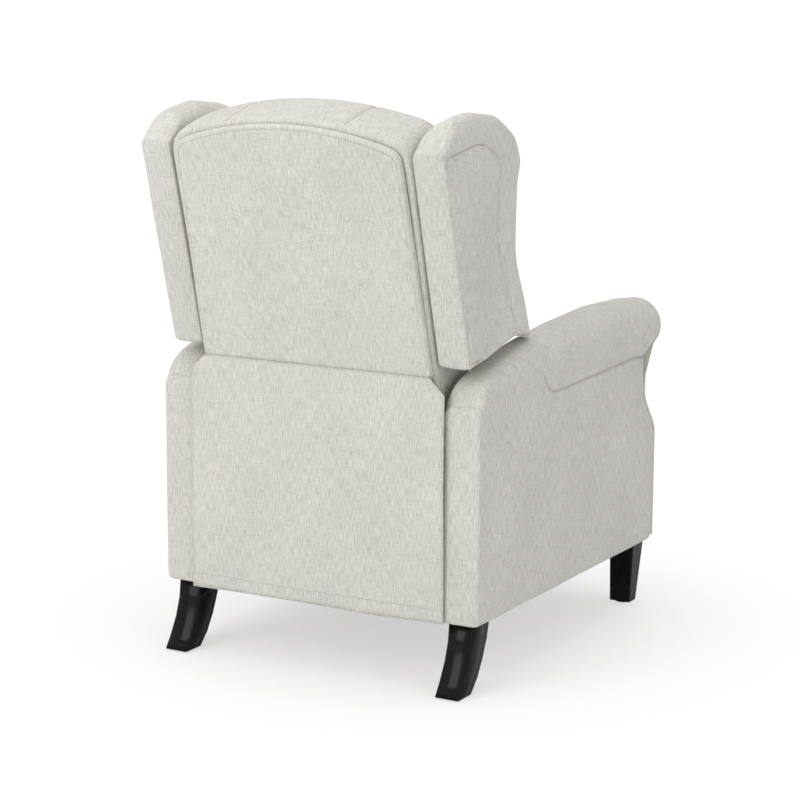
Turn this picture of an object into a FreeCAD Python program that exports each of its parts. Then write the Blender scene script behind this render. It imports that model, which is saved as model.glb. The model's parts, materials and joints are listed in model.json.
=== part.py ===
import FreeCAD, Part
import math
import os

# Push-back wingback recliner, upright and closed. Millimetres, +Z up, the front faces -Y.
# The origin is on the floor, under the middle of the chair. The sitter's right side is at -X.
# Outlines are drawn in the YZ or XZ plane for the +X side and mirrored for the other.

V = FreeCAD.Vector

# Arms
ARM_INNER_X = 257.0
ARM_OUTER_X = 329.0
ARM_FRONT_Y = -415.0
ARM_REAR_Y = 317.0
ARM_PANEL_T = 12.0
ARM_RAIL_T = 36.0
ARM_RAIL_W = 50.0
FRONT_FACING_T = 15.0
WELT_R = 4.0
NECK_BEND_R = 90.0
NECK_FOOT_Z = 345.0
UNDERCUT_R = 14.0
ROLL_INNER_R = 26.0
# One row for each station of the arm: y, neck x, roll centre x, roll centre z, roll radius
ARM_STATIONS = (
    (ARM_FRONT_Y, 306.0, 283.0, 560.0, 52.0),
    (-200.0, 322.0, 284.0, 574.0, 52.0),
    (80.0, 327.0, 284.0, 560.0, 50.0),
    (233.0, 327.0, 284.0, 523.0, 50.0),
    (288.0, 327.5, 284.0, 502.0, 49.0),
    (306.0, 327.5, 284.0, 486.0, 48.0),
    (ARM_REAR_Y, 328.0, 284.0, 460.0, 46.0),
)
ARM_PANEL_DROP = 47.0
ARM_TRIM = 6.0

# Legs
LEG_H = 126.0
GLIDE_T = 3.0
GLIDE_R = 13.0
LEG_EASE = 2.0
HANGER_R = 4.0
HANGER_REACH = 30.0
REAR_LEG_X = (262.8, 310.0)
FRONT_LEG_X = (257.5, 309.5)
FRONT_LEG_FOOT_X = (260.5, 303.5)
FRONT_LEG_TOP_Y = (-428.0, -379.0)
FRONT_LEG_FOOT_Y = (-410.0, -378.0)

# Cross members of the base
STRETCHER_BOTTOM_Z = 130.0
STRETCHER_H = 48.0
MIDDLE_STRETCHER_Y = (-170.0, -132.0)
REAR_STRETCHER_Y = (283.0, 305.0)
CORNER_BLOCK = 48.0

# Sheet steel of the mechanism, and the layers it lies in, counted from the arm inwards
STEEL_T = 3.0
LAYER_GAP = 0.5
PIN_R = 5.0
RUN_FIT = 0.08
OPEN_FIT = 0.5
HEAD_R = 6.5
HEAD_T = 2.0
BOSS_R = 11.0
OUTER_BOSS_R = 8.0
BASE_PLATE_X = ARM_INNER_X - STEEL_T
SWING_X = BASE_PLATE_X - LAYER_GAP - STEEL_T
SIDE_PLATE_X = 243.0
SIDE_PLATE_TOP = 374.0
CONTROL_X = 238.5
CRANK_X = 234.0
OUTER_LINK_X = 229.5
GUIDE_X = 225.0

# Swing links: two equal links on each side, which lean back by SWING_LEAN when upright
SWING_L = 90.0
SWING_LEAN = 25.0
SWING_FOOT_Z = 165.0
SWING_FOOT_FRONT_Y = -110.0
SWING_FOOT_REAR_Y = 110.0

# Footrest linkage: angles are from the forward direction, counted upwards
CRANK_PIVOT = (-313.0, 352.0)
CRANK_L = 204.25
CRANK_ANGLE = -115.67
CONTROL_OFFSET = 30.8
CONTROL_ANGLE = 199.33
OUTER_L = 186.8
OUTER_ANGLE = 45.0
GUIDE_OFFSET = 30.0
GUIDE_ANGLE = 77.0
TORQUE_TUBE_R = 8.0
TORQUE_TUBE_WALL = 1.5
TORQUE_TUBE_REACH = 75.0

# Seat
SEAT_FRAME_HALF = 219.0
SEAT_RAIL_T = 25.0
SEAT_RAIL_Z = (310.0, 385.0)
SEAT_FRONT_Y = -365.0
SEAT_REAR_Y = 100.0
FRONT_RAIL_BOTTOM_Z = 330.0
WEB_T = 2.0
WEB_W = 50.0
DECK_T = 6.0
CUSHION_HALF = 250.0
CUSHION_FRONT_Y = -435.0
CUSHION_REAR_Y = 124.0
CUSHION_TOP_Z = 470.0
CUSHION_CROWN = 8.0

# Footrest
REST_BOARD_T = 15.0
REST_BOARD_Y = -385.0
REST_BOARD_HALF = 236.0
REST_HALF = 250.0
REST_Z = (135.0, 391.0)
REST_FACE_Y = -431.0
REST_CROWN = 4.0

# Back, drawn upright in its own frame and then tilted about its foot
BACK_FOOT = (247.7, 300.0)
BACK_TILT = 14.5
BACK_HINGE = (210.0, 275.0)
BACK_HALF_LOW = 240.0
BACK_HALF = 243.0
BACK_BOTTOM = 20.0
BACK_CREST = 736.0
BACK_SHOULDER = 696.0
BACK_SKIN = 12.0
BACK_COVER = 6.0
BACK_PAD_DEPTH = 146.0
BACK_POST_X = (212.0, 236.0)
BACK_RAIL_D = 48.0
BACK_BRACKET_X = 236.0
PANEL_HALF_LOW = 236.0
PANEL_HALF_TOP = 228.0
PANEL_BOTTOM = 284.0
PANEL_SHOULDER = 683.0
PANEL_TOP = 722.0
PANEL_PROUD = 9.8
TUFT_ROWS = ((250.0, (-120.0, 0.0, 120.0)), (360.0, (-180.0, -60.0, 60.0, 180.0)),
             (470.0, (-120.0, 0.0, 120.0)), (580.0, (-180.0, -60.0, 60.0, 180.0)))
TUFT_R = 38.0
TUFT_DEPTH = 14.0
BUTTON_R = 11.0
BUTTON_T = 6.0

# Wings
WING_X = (243.3, 303.0)
WING_BOARD_X = (262.0, 274.0)
WING_BOARD_INSET = 26.0

# Flap of cloth behind the opening
FLAP_SEAM = (325.0, 562.0)
FLAP_T = 3.0
FLAP_HALF = 262.5
FLAP_TOP_HALF = 233.0
FLAP_SHOULDER_Z = 533.0
FLAP_HEM_Z = 126.0
FLAP_WAVE = 2.0
FLAP_FOLDS = 3
SEAM_CLEAR = 0.3

FLATNESS = 1e-4
MIRROR_PLANE = (V(0, 0, 0), V(1, 0, 0))


def save(name, shapes):
    """Write one node, a solid or a group of separate solids."""
    solids = []
    for shape in shapes if isinstance(shapes, (list, tuple)) else [shapes]:
        solids.extend(shape.Solids)
    whole = solids[0] if len(solids) == 1 else Part.makeCompound(solids)
    whole.exportStep("parts/%s.step" % name)


def mirrored(shape):
    return shape.mirror(*MIRROR_PLANE)


def save_pair(name, shape):
    """Write the +X shape as the left node and its mirror image as the right one."""
    save(name + "_left", shape)
    save(name + "_right", mirrored(shape))


def both(shapes):
    """The shapes of the +X side and their mirror images, as one list."""
    return list(shapes) + [mirrored(shape) for shape in shapes]


def polar(centre, radius, degrees):
    """The (y, z) point at an angle counted from forwards (-Y) upwards."""
    a = math.radians(degrees)
    return (centre[0] - radius * math.cos(a), centre[1] + radius * math.sin(a))


def yz(point, x=0.0):
    return V(x, point[0], point[1])


def xz(point, y=0.0):
    return V(point[0], y, point[1])


def box(x, y, z):
    """A box from three (low, high) pairs."""
    return Part.makeBox(x[1] - x[0], y[1] - y[0], z[1] - z[0], V(x[0], y[0], z[0]))


def rounded_wire(points, radii, place):
    """A closed outline of straight runs whose corners are arcs of the given radii."""
    count = len(points)
    if isinstance(radii, (int, float)):
        radii = [radii] * count
    corners = []
    for i, (px, pz) in enumerate(points):
        ax, az = points[i - 1]
        bx, bz = points[(i + 1) % count]
        la, lb = math.hypot(ax - px, az - pz), math.hypot(bx - px, bz - pz)
        ua = ((ax - px) / la, (az - pz) / la)
        ub = ((bx - px) / lb, (bz - pz) / lb)
        half = math.acos(max(-1.0, min(1.0, ua[0] * ub[0] + ua[1] * ub[1]))) / 2
        if radii[i] <= 0 or math.pi / 2 - half < 0.01:
            corners.append(((px, pz), None, (px, pz)))
            continue
        cut = radii[i] / math.tan(half)
        mid = (ua[0] + ub[0], ua[1] + ub[1])
        size = math.hypot(*mid)
        depth = radii[i] / math.sin(half) - radii[i]
        corners.append(((px + ua[0] * cut, pz + ua[1] * cut),
                        (px + mid[0] / size * depth, pz + mid[1] / size * depth),
                        (px + ub[0] * cut, pz + ub[1] * cut)))
    edges = []
    for i, (start, middle, end) in enumerate(corners):
        if middle:
            edges.append(Part.Arc(place(start), place(middle), place(end)).toShape())
        following = corners[(i + 1) % count][0]
        if math.dist(end, following) > 1e-6:
            edges.append(Part.LineSegment(place(end), place(following)).toShape())
    return Part.Wire(edges)


def plate(points, radii, x0, thickness):
    """A flat plate parallel to YZ, from x0 outwards."""
    face = Part.Face(rounded_wire(points, radii, lambda p: yz(p, x0)))
    return face.extrude(V(thickness, 0, 0))


def tapered_link(p, rp, q, rq, x0, thickness=STEEL_T):
    """A link that wraps two bosses, drawn with the two outer tangents."""
    span = math.dist(p, q)
    along = math.atan2(q[1] - p[1], q[0] - p[0])
    lean = math.acos((rp - rq) / span)

    def rim(centre, radius, angle):
        return V(x0, centre[0] + radius * math.cos(angle), centre[1] + radius * math.sin(angle))

    p_high, p_low = rim(p, rp, along + lean), rim(p, rp, along - lean)
    q_high, q_low = rim(q, rq, along + lean), rim(q, rq, along - lean)
    edges = [Part.Arc(p_high, rim(p, rp, along + math.pi), p_low).toShape(),
             Part.LineSegment(p_low, q_low).toShape(),
             Part.Arc(q_low, rim(q, rq, along), q_high).toShape(),
             Part.LineSegment(q_high, p_high).toShape()]
    return Part.Face(Part.Wire(edges)).extrude(V(thickness, 0, 0))


def cylinder_x(centre, radius, x0, x1):
    """A cylinder along X between two x values, in either order."""
    low, high = min(x0, x1), max(x0, x1)
    return Part.makeCylinder(radius, high - low, yz(centre, low), V(1, 0, 0))


def rivet(centre, x_root, x_far, outwards, collar_to=None):
    """A pin from x_root past the link at x_far, with its head and an optional shoulder."""
    sign = 1.0 if outwards else -1.0
    seat = x_far + sign * LAYER_GAP
    pin = cylinder_x(centre, PIN_R, x_root, seat)
    pin = pin.fuse(faceted(8, HEAD_R, yz(centre, seat), V(sign * HEAD_T, 0, 0)))
    if collar_to is not None:
        pin = pin.fuse(faceted(8, HEAD_R, yz(centre, x_root), V(collar_to - x_root, 0, 0)))
    return pin


def bored(shape, centre, clearance, x0, thickness=STEEL_T):
    return shape.cut(cylinder_x(centre, PIN_R + clearance, x0 - 1, x0 + thickness + 1))


def faceted(sides, radius, base, direction):
    """A many-sided prism of the given radius over its flats, for fasteners and buttons."""
    corner = radius / math.cos(math.pi / sides)
    flat = FreeCAD.Rotation(V(0, 0, 1), direction)
    points = []
    for i in range(sides + 1):
        angle = 2 * math.pi * (i + 0.5) / sides
        points.append(base + flat * V(corner * math.cos(angle), corner * math.sin(angle), 0))
    return Part.Face(Part.makePolygon(points)).extrude(direction)


def bolt_x(centre, radius, x_head, x_tip):
    """A hexagon-headed screw along X: its head stands at x_head, its tip is at x_tip."""
    head_t = radius * 0.8 * (1.0 if x_head > x_tip else -1.0)
    head = faceted(6, radius * 1.8, yz(centre, x_head), V(head_t, 0, 0))
    return head.fuse(faceted(8, radius, yz(centre, x_head), V(x_tip - x_head, 0, 0)))


def as_plane(face):
    """The same face on a true plane, if its edges are straight and lie in one plane."""
    ends = [(edge.Vertexes[0].Point, edge.Vertexes[-1].Point) for edge in face.Edges]
    if any(abs(edge.Length - a.distanceToPoint(b)) > FLATNESS
           for edge, (a, b) in zip(face.Edges, ends)):
        return face
    points = [vertex.Point for vertex in face.OuterWire.OrderedVertexes]
    normal = max(((b - points[0]).cross(c - points[0]) for b, c in zip(points[1:], points[2:])),
                 key=lambda n: n.Length)
    if normal.Length < FLATNESS:
        return face
    normal.normalize()
    if any(abs((point - points[0]).dot(normal)) > FLATNESS for point in points):
        return face
    return Part.Face(Part.makePolygon(points + [points[0]]))


def ruled(wires):
    """A straight-sided loft whose flat sides are true planes."""
    faces = [as_plane(face) for face in Part.makeLoft(wires, True, True, False).Faces]
    shell = Part.makeShell(faces)
    shell.sewShape()
    solid = Part.makeSolid(shell)
    if solid.Volume < 0:
        solid.reverse()
    return solid


def swing_head(foot_y):
    """The upper pivot of a swing link when the chair is upright."""
    return polar((foot_y, SWING_FOOT_Z), SWING_L, 90.0 + SWING_LEAN)


SWING_FRONT = ((SWING_FOOT_FRONT_Y, SWING_FOOT_Z), swing_head(SWING_FOOT_FRONT_Y))
SWING_REAR = ((SWING_FOOT_REAR_Y, SWING_FOOT_Z), swing_head(SWING_FOOT_REAR_Y))
PIVOT_A = CRANK_PIVOT
PIVOT_A2 = polar(PIVOT_A, CONTROL_OFFSET, CONTROL_ANGLE)
PIVOT_B = polar(PIVOT_A, CRANK_L, CRANK_ANGLE)
PIVOT_D = polar(PIVOT_B, CONTROL_OFFSET, CONTROL_ANGLE)
PIVOT_C = polar(PIVOT_B, OUTER_L, OUTER_ANGLE)
PIVOT_E = polar(PIVOT_B, GUIDE_OFFSET, GUIDE_ANGLE)
PIVOT_G = polar(PIVOT_C, GUIDE_OFFSET, GUIDE_ANGLE)
TUBE_AXIS = polar(PIVOT_A, TORQUE_TUBE_REACH, CRANK_ANGLE)
DECK_BOTTOM_Z = SEAT_RAIL_Z[1] + 2 * WEB_T
CUSHION_BOTTOM_Z = DECK_BOTTOM_Z + DECK_T


def arm_section(y, neck_x, roll_x, roll_z, roll_r):
    """Cross-section of the arm at y: straight side, waisted neck, undercut and roll."""
    waist = ARM_OUTER_X - neck_x
    turn = math.acos(1 - waist / (2 * NECK_BEND_R))
    rise = NECK_BEND_R * math.sin(turn)
    low_turn, low_rise = turn / 2, NECK_BEND_R * math.sin(turn / 2)
    sag = NECK_BEND_R * (1 - math.cos(low_turn))
    mid_x = (ARM_OUTER_X + neck_x) / 2
    under_dx = neck_x + UNDERCUT_R - roll_x
    reach = roll_r + UNDERCUT_R
    under_z = roll_z - math.sqrt(reach ** 2 - under_dx ** 2)
    meet = (roll_x + roll_r * under_dx / reach, roll_z - roll_r * (roll_z - under_z) / reach)
    meet_angle = math.atan2(meet[1] - roll_z, meet[0] - roll_x)
    half_under = (math.pi + math.atan2(roll_z - under_z, -under_dx)) / 2
    top = (roll_x, roll_z + roll_r)
    inner_r = roll_x - ARM_INNER_X

    def at(x, z):
        return V(x, y, z)

    def on_roll(angle):
        return at(roll_x + roll_r * math.cos(angle), roll_z + roll_r * math.sin(angle))

    below = LEG_H - ARM_TRIM
    corner, foot = at(ARM_INNER_X, below), at(ARM_OUTER_X, below)
    neck_top = at(neck_x, under_z)
    neck_foot = at(neck_x, NECK_FOOT_Z + 2 * rise)
    edges = [
        Part.LineSegment(corner, foot),
        Part.LineSegment(foot, at(ARM_OUTER_X, NECK_FOOT_Z)),
        Part.Arc(at(ARM_OUTER_X, NECK_FOOT_Z), at(ARM_OUTER_X - sag, NECK_FOOT_Z + low_rise),
                 at(mid_x, NECK_FOOT_Z + rise)),
        Part.Arc(at(mid_x, NECK_FOOT_Z + rise),
                 at(neck_x + sag, NECK_FOOT_Z + 2 * rise - low_rise), neck_foot),
        Part.LineSegment(neck_foot, neck_top),
        Part.Arc(neck_top, at(neck_x + UNDERCUT_R + UNDERCUT_R * math.cos(half_under),
                              under_z + UNDERCUT_R * math.sin(half_under)), at(*meet)),
        Part.Arc(at(*meet), on_roll(meet_angle / 2), on_roll(0.0)),
        Part.Arc(on_roll(0.0), on_roll(math.pi / 4), at(*top)),
        Part.Arc(at(*top), at(roll_x - inner_r * math.sin(math.pi / 4),
                              top[1] - inner_r * (1 - math.cos(math.pi / 4))),
                 at(ARM_INNER_X, top[1] - inner_r)),
        Part.LineSegment(at(ARM_INNER_X, top[1] - inner_r), corner),
    ]
    return Part.Wire([edge.toShape() for edge in edges])


def below_floor_of_arm():
    """Everything under the arm's flat bottom."""
    return box((ARM_INNER_X - 20, ARM_OUTER_X + 20), (ARM_FRONT_Y - 40, ARM_REAR_Y + 40),
               (0.0, LEG_H))


def arm_panel():
    """Plywood side that closes the arm towards the seat and takes the mechanism."""
    top = [(y, roll_z + roll_r - ARM_PANEL_DROP) for y, _, _, roll_z, roll_r in ARM_STATIONS]
    front, rear = top[0][0] + 6, top[-1][0] - 6
    outline = [(front, LEG_H), (rear, LEG_H), (rear, top[-1][1])]
    outline += top[-2:0:-1] + [(front, top[0][1])]
    return plate(outline, 0, ARM_INNER_X, ARM_PANEL_T)


def arm_rails():
    """The four posts and rails of the arm, as separate boards."""
    x = (ARM_INNER_X + ARM_PANEL_T, ARM_INNER_X + ARM_PANEL_T + ARM_RAIL_T)
    front, rear = ARM_FRONT_Y + 8, ARM_REAR_Y - 10
    top = (400.0, 400.0 + ARM_RAIL_W)
    bottom = (LEG_H, LEG_H + ARM_RAIL_W)
    between = (front + ARM_RAIL_W, rear - ARM_RAIL_W)
    middle = (-25.0, -25.0 + ARM_RAIL_W)
    return [box(x, (front, front + ARM_RAIL_W), (bottom[0], top[1] + 40)),
            box(x, (rear - ARM_RAIL_W, rear), (bottom[0], top[1])),
            box(x, between, bottom), box(x, between, top),
            box(x, middle, (bottom[1], top[0]))]


def arm_front_facing():
    """Scroll-shaped padded facing of the arm and the piping round its edge."""
    section = arm_section(*ARM_STATIONS[0])
    welt_line = section.makeOffset2D(-WELT_R)
    outline = section.makeOffset2D(-2 * WELT_R - SEAM_CLEAR)
    inner = section.makeOffset2D(-2 * WELT_R - SEAM_CLEAR - 5)
    rise = FRONT_FACING_T
    back = outline.copy()
    mid = outline.copy()
    mid.translate(V(0, -(rise - 4), 0))
    inner.translate(V(0, -rise, 0))
    facing = ruled([back, mid]).fuse(ruled([mid, inner])).removeSplitter()
    return facing, welt(welt_line)


def welt(line):
    """Piping that follows the facing's outline, open at the arm's foot."""
    path = line.copy()
    path.translate(V(0, -WELT_R, 0))
    foot_z = path.BoundBox.ZMin
    kept = [edge for edge in path.OrderedEdges
            if not (abs(edge.BoundBox.ZMax - foot_z) < 0.5 and edge.BoundBox.XLength > 20)]
    ordered = Part.Wire(Part.__sortEdges__(kept))
    start = ordered.OrderedVertexes[0].Point
    tangent = V(0, 0, 1) if start.z < foot_z + 1 else V(0, 0, -1)
    ring = faceted(8, WELT_R, start, tangent).Faces[-2].OuterWire
    shell = Part.BRepOffsetAPI.MakePipeShell(ordered)
    shell.add(ring)
    shell.build()
    shell.makeSolid()
    return shell.shape()


def base_screw_places():
    """Where the mechanism base is screwed to the arm, as (y, z)."""
    return [(y, LEG_H + 24) for y in (-70.0, 0.0, 70.0)]


def mechanism_base():
    """Steel base rail with the feet of the swing links riveted to it."""
    z = SWING_FOOT_Z
    outline = [(-125.0, 134.0), (128.0, 134.0), (128.0, z + 12), (96.0, z + 20), (60.0, z),
               (-60.0, z), (-96.0, z + 20), (-125.0, z + 12)]
    rail = plate(outline, [6, 6, 12, 12, 12, 12, 12, 12], BASE_PLATE_X, STEEL_T)
    for foot, _ in (SWING_FRONT, SWING_REAR):
        rail = rail.fuse(rivet(foot, BASE_PLATE_X, SWING_X, False))
    return rail


def swing_link(foot, head, head_fit):
    link = tapered_link(foot, BOSS_R, head, BOSS_R, SWING_X)
    link = bored(link, foot, RUN_FIT, SWING_X)
    return bored(link, head, head_fit, SWING_X)


def leg_wire(x, y, z):
    """A level rectangle with eased corners, from its (low, high) pairs and its height."""
    ease = LEG_EASE
    points = [V(x[0] + ease, y[0], z), V(x[1] - ease, y[0], z), V(x[1], y[0] + ease, z),
              V(x[1], y[1] - ease, z), V(x[1] - ease, y[1], z), V(x[0] + ease, y[1], z),
              V(x[0], y[1] - ease, z), V(x[0], y[0] + ease, z)]
    return Part.makePolygon(points + [points[0]])


def rear_leg():
    """Sabre leg: each station is (z, front edge y, rear edge y)."""
    stations = ((LEG_H, 237.0, 303.0), (92.0, 246.0, 307.0), (58.0, 261.0, 319.0),
                (26.0, 281.0, 337.0), (GLIDE_T, 304.0, 353.0))
    inner, outer = REAR_LEG_X
    return ruled([leg_wire((inner, outer), (front, rear), z) for z, front, rear in stations])


def front_leg():
    return ruled([leg_wire(FRONT_LEG_X, FRONT_LEG_TOP_Y, LEG_H),
                  leg_wire(FRONT_LEG_FOOT_X, FRONT_LEG_FOOT_Y, GLIDE_T)])


def leg_axis(x, y):
    """Middle of a leg's section, for its bolt or its glide."""
    return (sum(x) / 2, sum(y) / 2)


def hanger_bolts():
    places = [leg_axis(REAR_LEG_X, (245.0, 300.0)), leg_axis(FRONT_LEG_X, FRONT_LEG_TOP_Y)]
    return [faceted(8, HANGER_R, V(x, y, LEG_H - HANGER_REACH), V(0, 0, 2 * HANGER_REACH))
            for x, y in places]


def glides():
    places = [leg_axis(REAR_LEG_X, (304.0, 353.0)), leg_axis(FRONT_LEG_FOOT_X, FRONT_LEG_FOOT_Y)]
    return [faceted(16, GLIDE_R, V(x, y, 0), V(0, 0, GLIDE_T)) for x, y in places]


def stretcher(y):
    """A board across the base with eased upper edges."""
    z0, z1 = STRETCHER_BOTTOM_Z, STRETCHER_BOTTOM_Z + STRETCHER_H
    outline = [(y[0], z0), (y[1], z0), (y[1], z1), (y[0], z1)]
    return plate(outline, [0, 0, 5, 5], -ARM_INNER_X, 2 * ARM_INNER_X)


def corner_block():
    """Triangular glue block between the rear stretcher and the arm."""
    x, y = ARM_INNER_X, REAR_STRETCHER_Y[0]
    corners = [V(x, y, STRETCHER_BOTTOM_Z), V(x - CORNER_BLOCK, y, STRETCHER_BOTTOM_Z),
               V(x - CORNER_BLOCK, y - 8, STRETCHER_BOTTOM_Z),
               V(x - 8, y - CORNER_BLOCK, STRETCHER_BOTTOM_Z),
               V(x, y - CORNER_BLOCK, STRETCHER_BOTTOM_Z)]
    face = Part.Face(Part.makePolygon(corners + [corners[0]]))
    return face.extrude(V(0, 0, STRETCHER_H - 8))


def make_base():
    panel, rails = arm_panel(), arm_rails()
    bolts, screws = hanger_bolts(), []
    for place in base_screw_places():
        screws.append(bolt_x(place, 2.5, BASE_PLATE_X, ARM_INNER_X + ARM_PANEL_T))
    fixings = Part.makeCompound(bolts + screws)
    pad = ruled([arm_section(*station) for station in ARM_STATIONS])
    pad = pad.cut(panel.fuse(rails)).cut(fixings).cut(below_floor_of_arm())
    facing, piping = [piece.cut(below_floor_of_arm()) for piece in arm_front_facing()]
    save_pair("arm_panel", panel.cut(fixings))
    rails = [rail.cut(fixings) for rail in rails]
    save("arm_frame_left", rails)
    save("arm_frame_right", [mirrored(rail) for rail in rails])
    save_pair("arm_pad", pad)
    save_pair("arm_front_panel", facing)
    save_pair("arm_welt", piping)
    save_pair("front_leg", front_leg().cut(fixings))
    save_pair("rear_leg", rear_leg().cut(fixings))
    save("leg_bolts", both(bolts))
    save("leg_glides", both(glides()))
    save("middle_stretcher", stretcher(MIDDLE_STRETCHER_Y))
    save("rear_stretcher", stretcher(REAR_STRETCHER_Y))
    save("corner_blocks", both([corner_block()]))
    save_pair("mechanism_base", mechanism_base().cut(fixings))
    save("base_screws", both(screws))
    save("rear_swing_links", both([swing_link(*SWING_REAR, RUN_FIT)]))
    save("front_swing_links", both([swing_link(*SWING_FRONT, OPEN_FIT)]))


def seat_bolt_places():
    return [(-128.0, 350.0), (72.0, 350.0)]


def side_plate():
    """Steel side of the seat: carries the swing links, the back hinge and the footrest."""
    (_, front), (_, rear), hinge = SWING_FRONT, SWING_REAR, BACK_HINGE
    outline = [(PIVOT_A[0] - 17, 334.0), (PIVOT_A2[0] + 4, 322.0), (-180.0, 318.0),
               (front[0] - 22, 290.0), (front[0] - 14, front[1] - 14),
               (front[0] + 16, front[1] - 14), (front[0] + 34, 292.0), (rear[0] - 34, 292.0),
               (rear[0] - 16, rear[1] - 14), (rear[0] + 14, rear[1] - 14),
               (rear[0] + 26, hinge[1] - 16), (hinge[0] + 16, hinge[1] - 16),
               (hinge[0] + 16, hinge[1] + 18), (118.0, SIDE_PLATE_TOP), (-300.0, SIDE_PLATE_TOP),
               (PIVOT_A[0] - 17, SIDE_PLATE_TOP - 8)]
    radii = [10, 20, 20, 14, 12, 12, 14, 14, 12, 12, 8, 14, 14, 20, 8, 8]
    sheet = plate(outline, radii, SIDE_PLATE_X, STEEL_T)
    for head in (front, rear):
        sheet = sheet.fuse(rivet(head, SIDE_PLATE_X + STEEL_T, SWING_X + STEEL_T, True))
    sheet = sheet.fuse(rivet(PIVOT_A, SIDE_PLATE_X, CRANK_X, False, CRANK_X + STEEL_T + LAYER_GAP))
    sheet = sheet.fuse(rivet(PIVOT_A2, SIDE_PLATE_X, CONTROL_X, False))
    hinge_collar = BACK_BRACKET_X + STEEL_T + LAYER_GAP
    return sheet.fuse(rivet(BACK_HINGE, SIDE_PLATE_X, BACK_BRACKET_X, False, hinge_collar))


def seat_side_rail():
    low, high = SEAT_RAIL_Z
    outline = [(SEAT_FRONT_Y, FRONT_RAIL_BOTTOM_Z), (-290.0, FRONT_RAIL_BOTTOM_Z),
               (-265.0, low), (SEAT_REAR_Y, low), (SEAT_REAR_Y, high), (SEAT_FRONT_Y, high)]
    return plate(outline, [0, 12, 12, 0, 0, 0], SEAT_FRAME_HALF - SEAT_RAIL_T, SEAT_RAIL_T)


def seat_frame():
    inner = SEAT_FRAME_HALF - SEAT_RAIL_T
    front = box((-inner, inner), (SEAT_FRONT_Y, SEAT_FRONT_Y + SEAT_RAIL_T),
                (FRONT_RAIL_BOTTOM_Z, SEAT_RAIL_Z[1]))
    rear = box((-inner, inner), (SEAT_REAR_Y - SEAT_RAIL_T, SEAT_REAR_Y), SEAT_RAIL_Z)
    return both([seat_side_rail()]) + [front, rear]


def seat_spacers():
    x = (SEAT_FRAME_HALF, SIDE_PLATE_X)
    return [box(x, (y - 28, y + 28), (z - 22, z + 22)) for y, z in seat_bolt_places()]


def webbing():
    """Straps stapled over the seat rails, four lengthways under five across."""
    low = SEAT_RAIL_Z[1]
    straps = []
    for x in (-135.0, -45.0, 45.0, 135.0):
        straps.append(box((x - WEB_W / 2, x + WEB_W / 2), (SEAT_FRONT_Y + 4, SEAT_REAR_Y - 4),
                          (low, low + WEB_T)))
    for i in range(5):
        y = -320.0 + i * 94.0
        straps.append(box((4 - SEAT_FRAME_HALF, SEAT_FRAME_HALF - 4),
                          (y - WEB_W / 2, y + WEB_W / 2), (low + WEB_T, low + 2 * WEB_T)))
    return straps


def soft_outline(half, y, inset, draw, place):
    """A rounded rectangle whose four sides are drawn in between the corners."""
    x1, y0, y1 = half - inset, y[0] + inset, y[1] - inset
    r = 26.0
    points = [(-x1, y0), (x1, y0), (x1, y1), (-x1, y1)]
    signs = [(-1, -1), (1, -1), (1, 1), (-1, 1)]
    edges = []
    ease = r * (1 - math.cos(math.pi / 4))
    for i, (px, py) in enumerate(points):
        sx, sy = signs[i]
        across, along = (px - sx * r, py), (px, py - sy * r)
        start, end = (along, across) if i % 2 == 0 else (across, along)
        nx, ny = points[(i + 1) % 4]
        tx, ty = signs[(i + 1) % 4]
        following = (nx - tx * r, ny) if i % 2 == 0 else (nx, ny - ty * r)
        edges.append(Part.Arc(place(start), place((px - sx * ease, py - sy * ease)), place(end)))
        mid = ((end[0] + following[0]) / 2, (end[1] + following[1]) / 2)
        inward = (0, -sy * draw) if i % 2 == 0 else (-sx * draw, 0)
        edges.append(Part.Arc(place(end), place((mid[0] + inward[0], mid[1] + inward[1])),
                              place(following)))
    return Part.Wire([edge.toShape() for edge in edges])


def soft_block(half, y, levels, place):
    """A padded block: levels are (height, inset, draw) and place turns them into space."""
    wires = [soft_outline(half, y, inset, draw, lambda p, h=height: place(p, h))
             for height, inset, draw in levels]
    return ruled(wires)


def seat_cushion():
    low, high = CUSHION_BOTTOM_Z, CUSHION_TOP_Z - CUSHION_CROWN
    depth = high - low
    levels = ((low, 8.0, 3.0), (low + 0.2 * depth, 0.0, 5.0), (low + 0.8 * depth, 0.0, 5.0),
              (high, 10.0, 3.0), (CUSHION_TOP_Z, 100.0, 0.5))
    return soft_block(CUSHION_HALF, (CUSHION_FRONT_Y, CUSHION_REAR_Y), levels,
                      lambda p, h: V(p[0], p[1], h))


def make_seat():
    bolts = [bolt_x(place, 3.5, SIDE_PLATE_X + STEEL_T, SEAT_FRAME_HALF - SEAT_RAIL_T + 5)
             for place in seat_bolt_places()]
    fixings = Part.makeCompound(both(bolts))
    save_pair("seat_side_plate", side_plate().cut(fixings))
    save("seat_frame", [rail.cut(fixings) for rail in seat_frame()])
    save("seat_spacers", [block.cut(fixings) for block in both(seat_spacers())])
    save("seat_bolts", both(bolts))
    save("seat_webbing", webbing())
    deck = [(-CUSHION_HALF + 3, SEAT_FRONT_Y - 6), (CUSHION_HALF - 3, SEAT_FRONT_Y - 6),
            (CUSHION_HALF - 3, SEAT_REAR_Y + 4), (3 - CUSHION_HALF, SEAT_REAR_Y + 4)]
    outline = rounded_wire(deck, 14.0, lambda p: V(p[0], p[1], DECK_BOTTOM_Z))
    save("seat_deck", Part.Face(outline).extrude(V(0, 0, DECK_T)))
    save("seat_cushion", seat_cushion())


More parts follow.
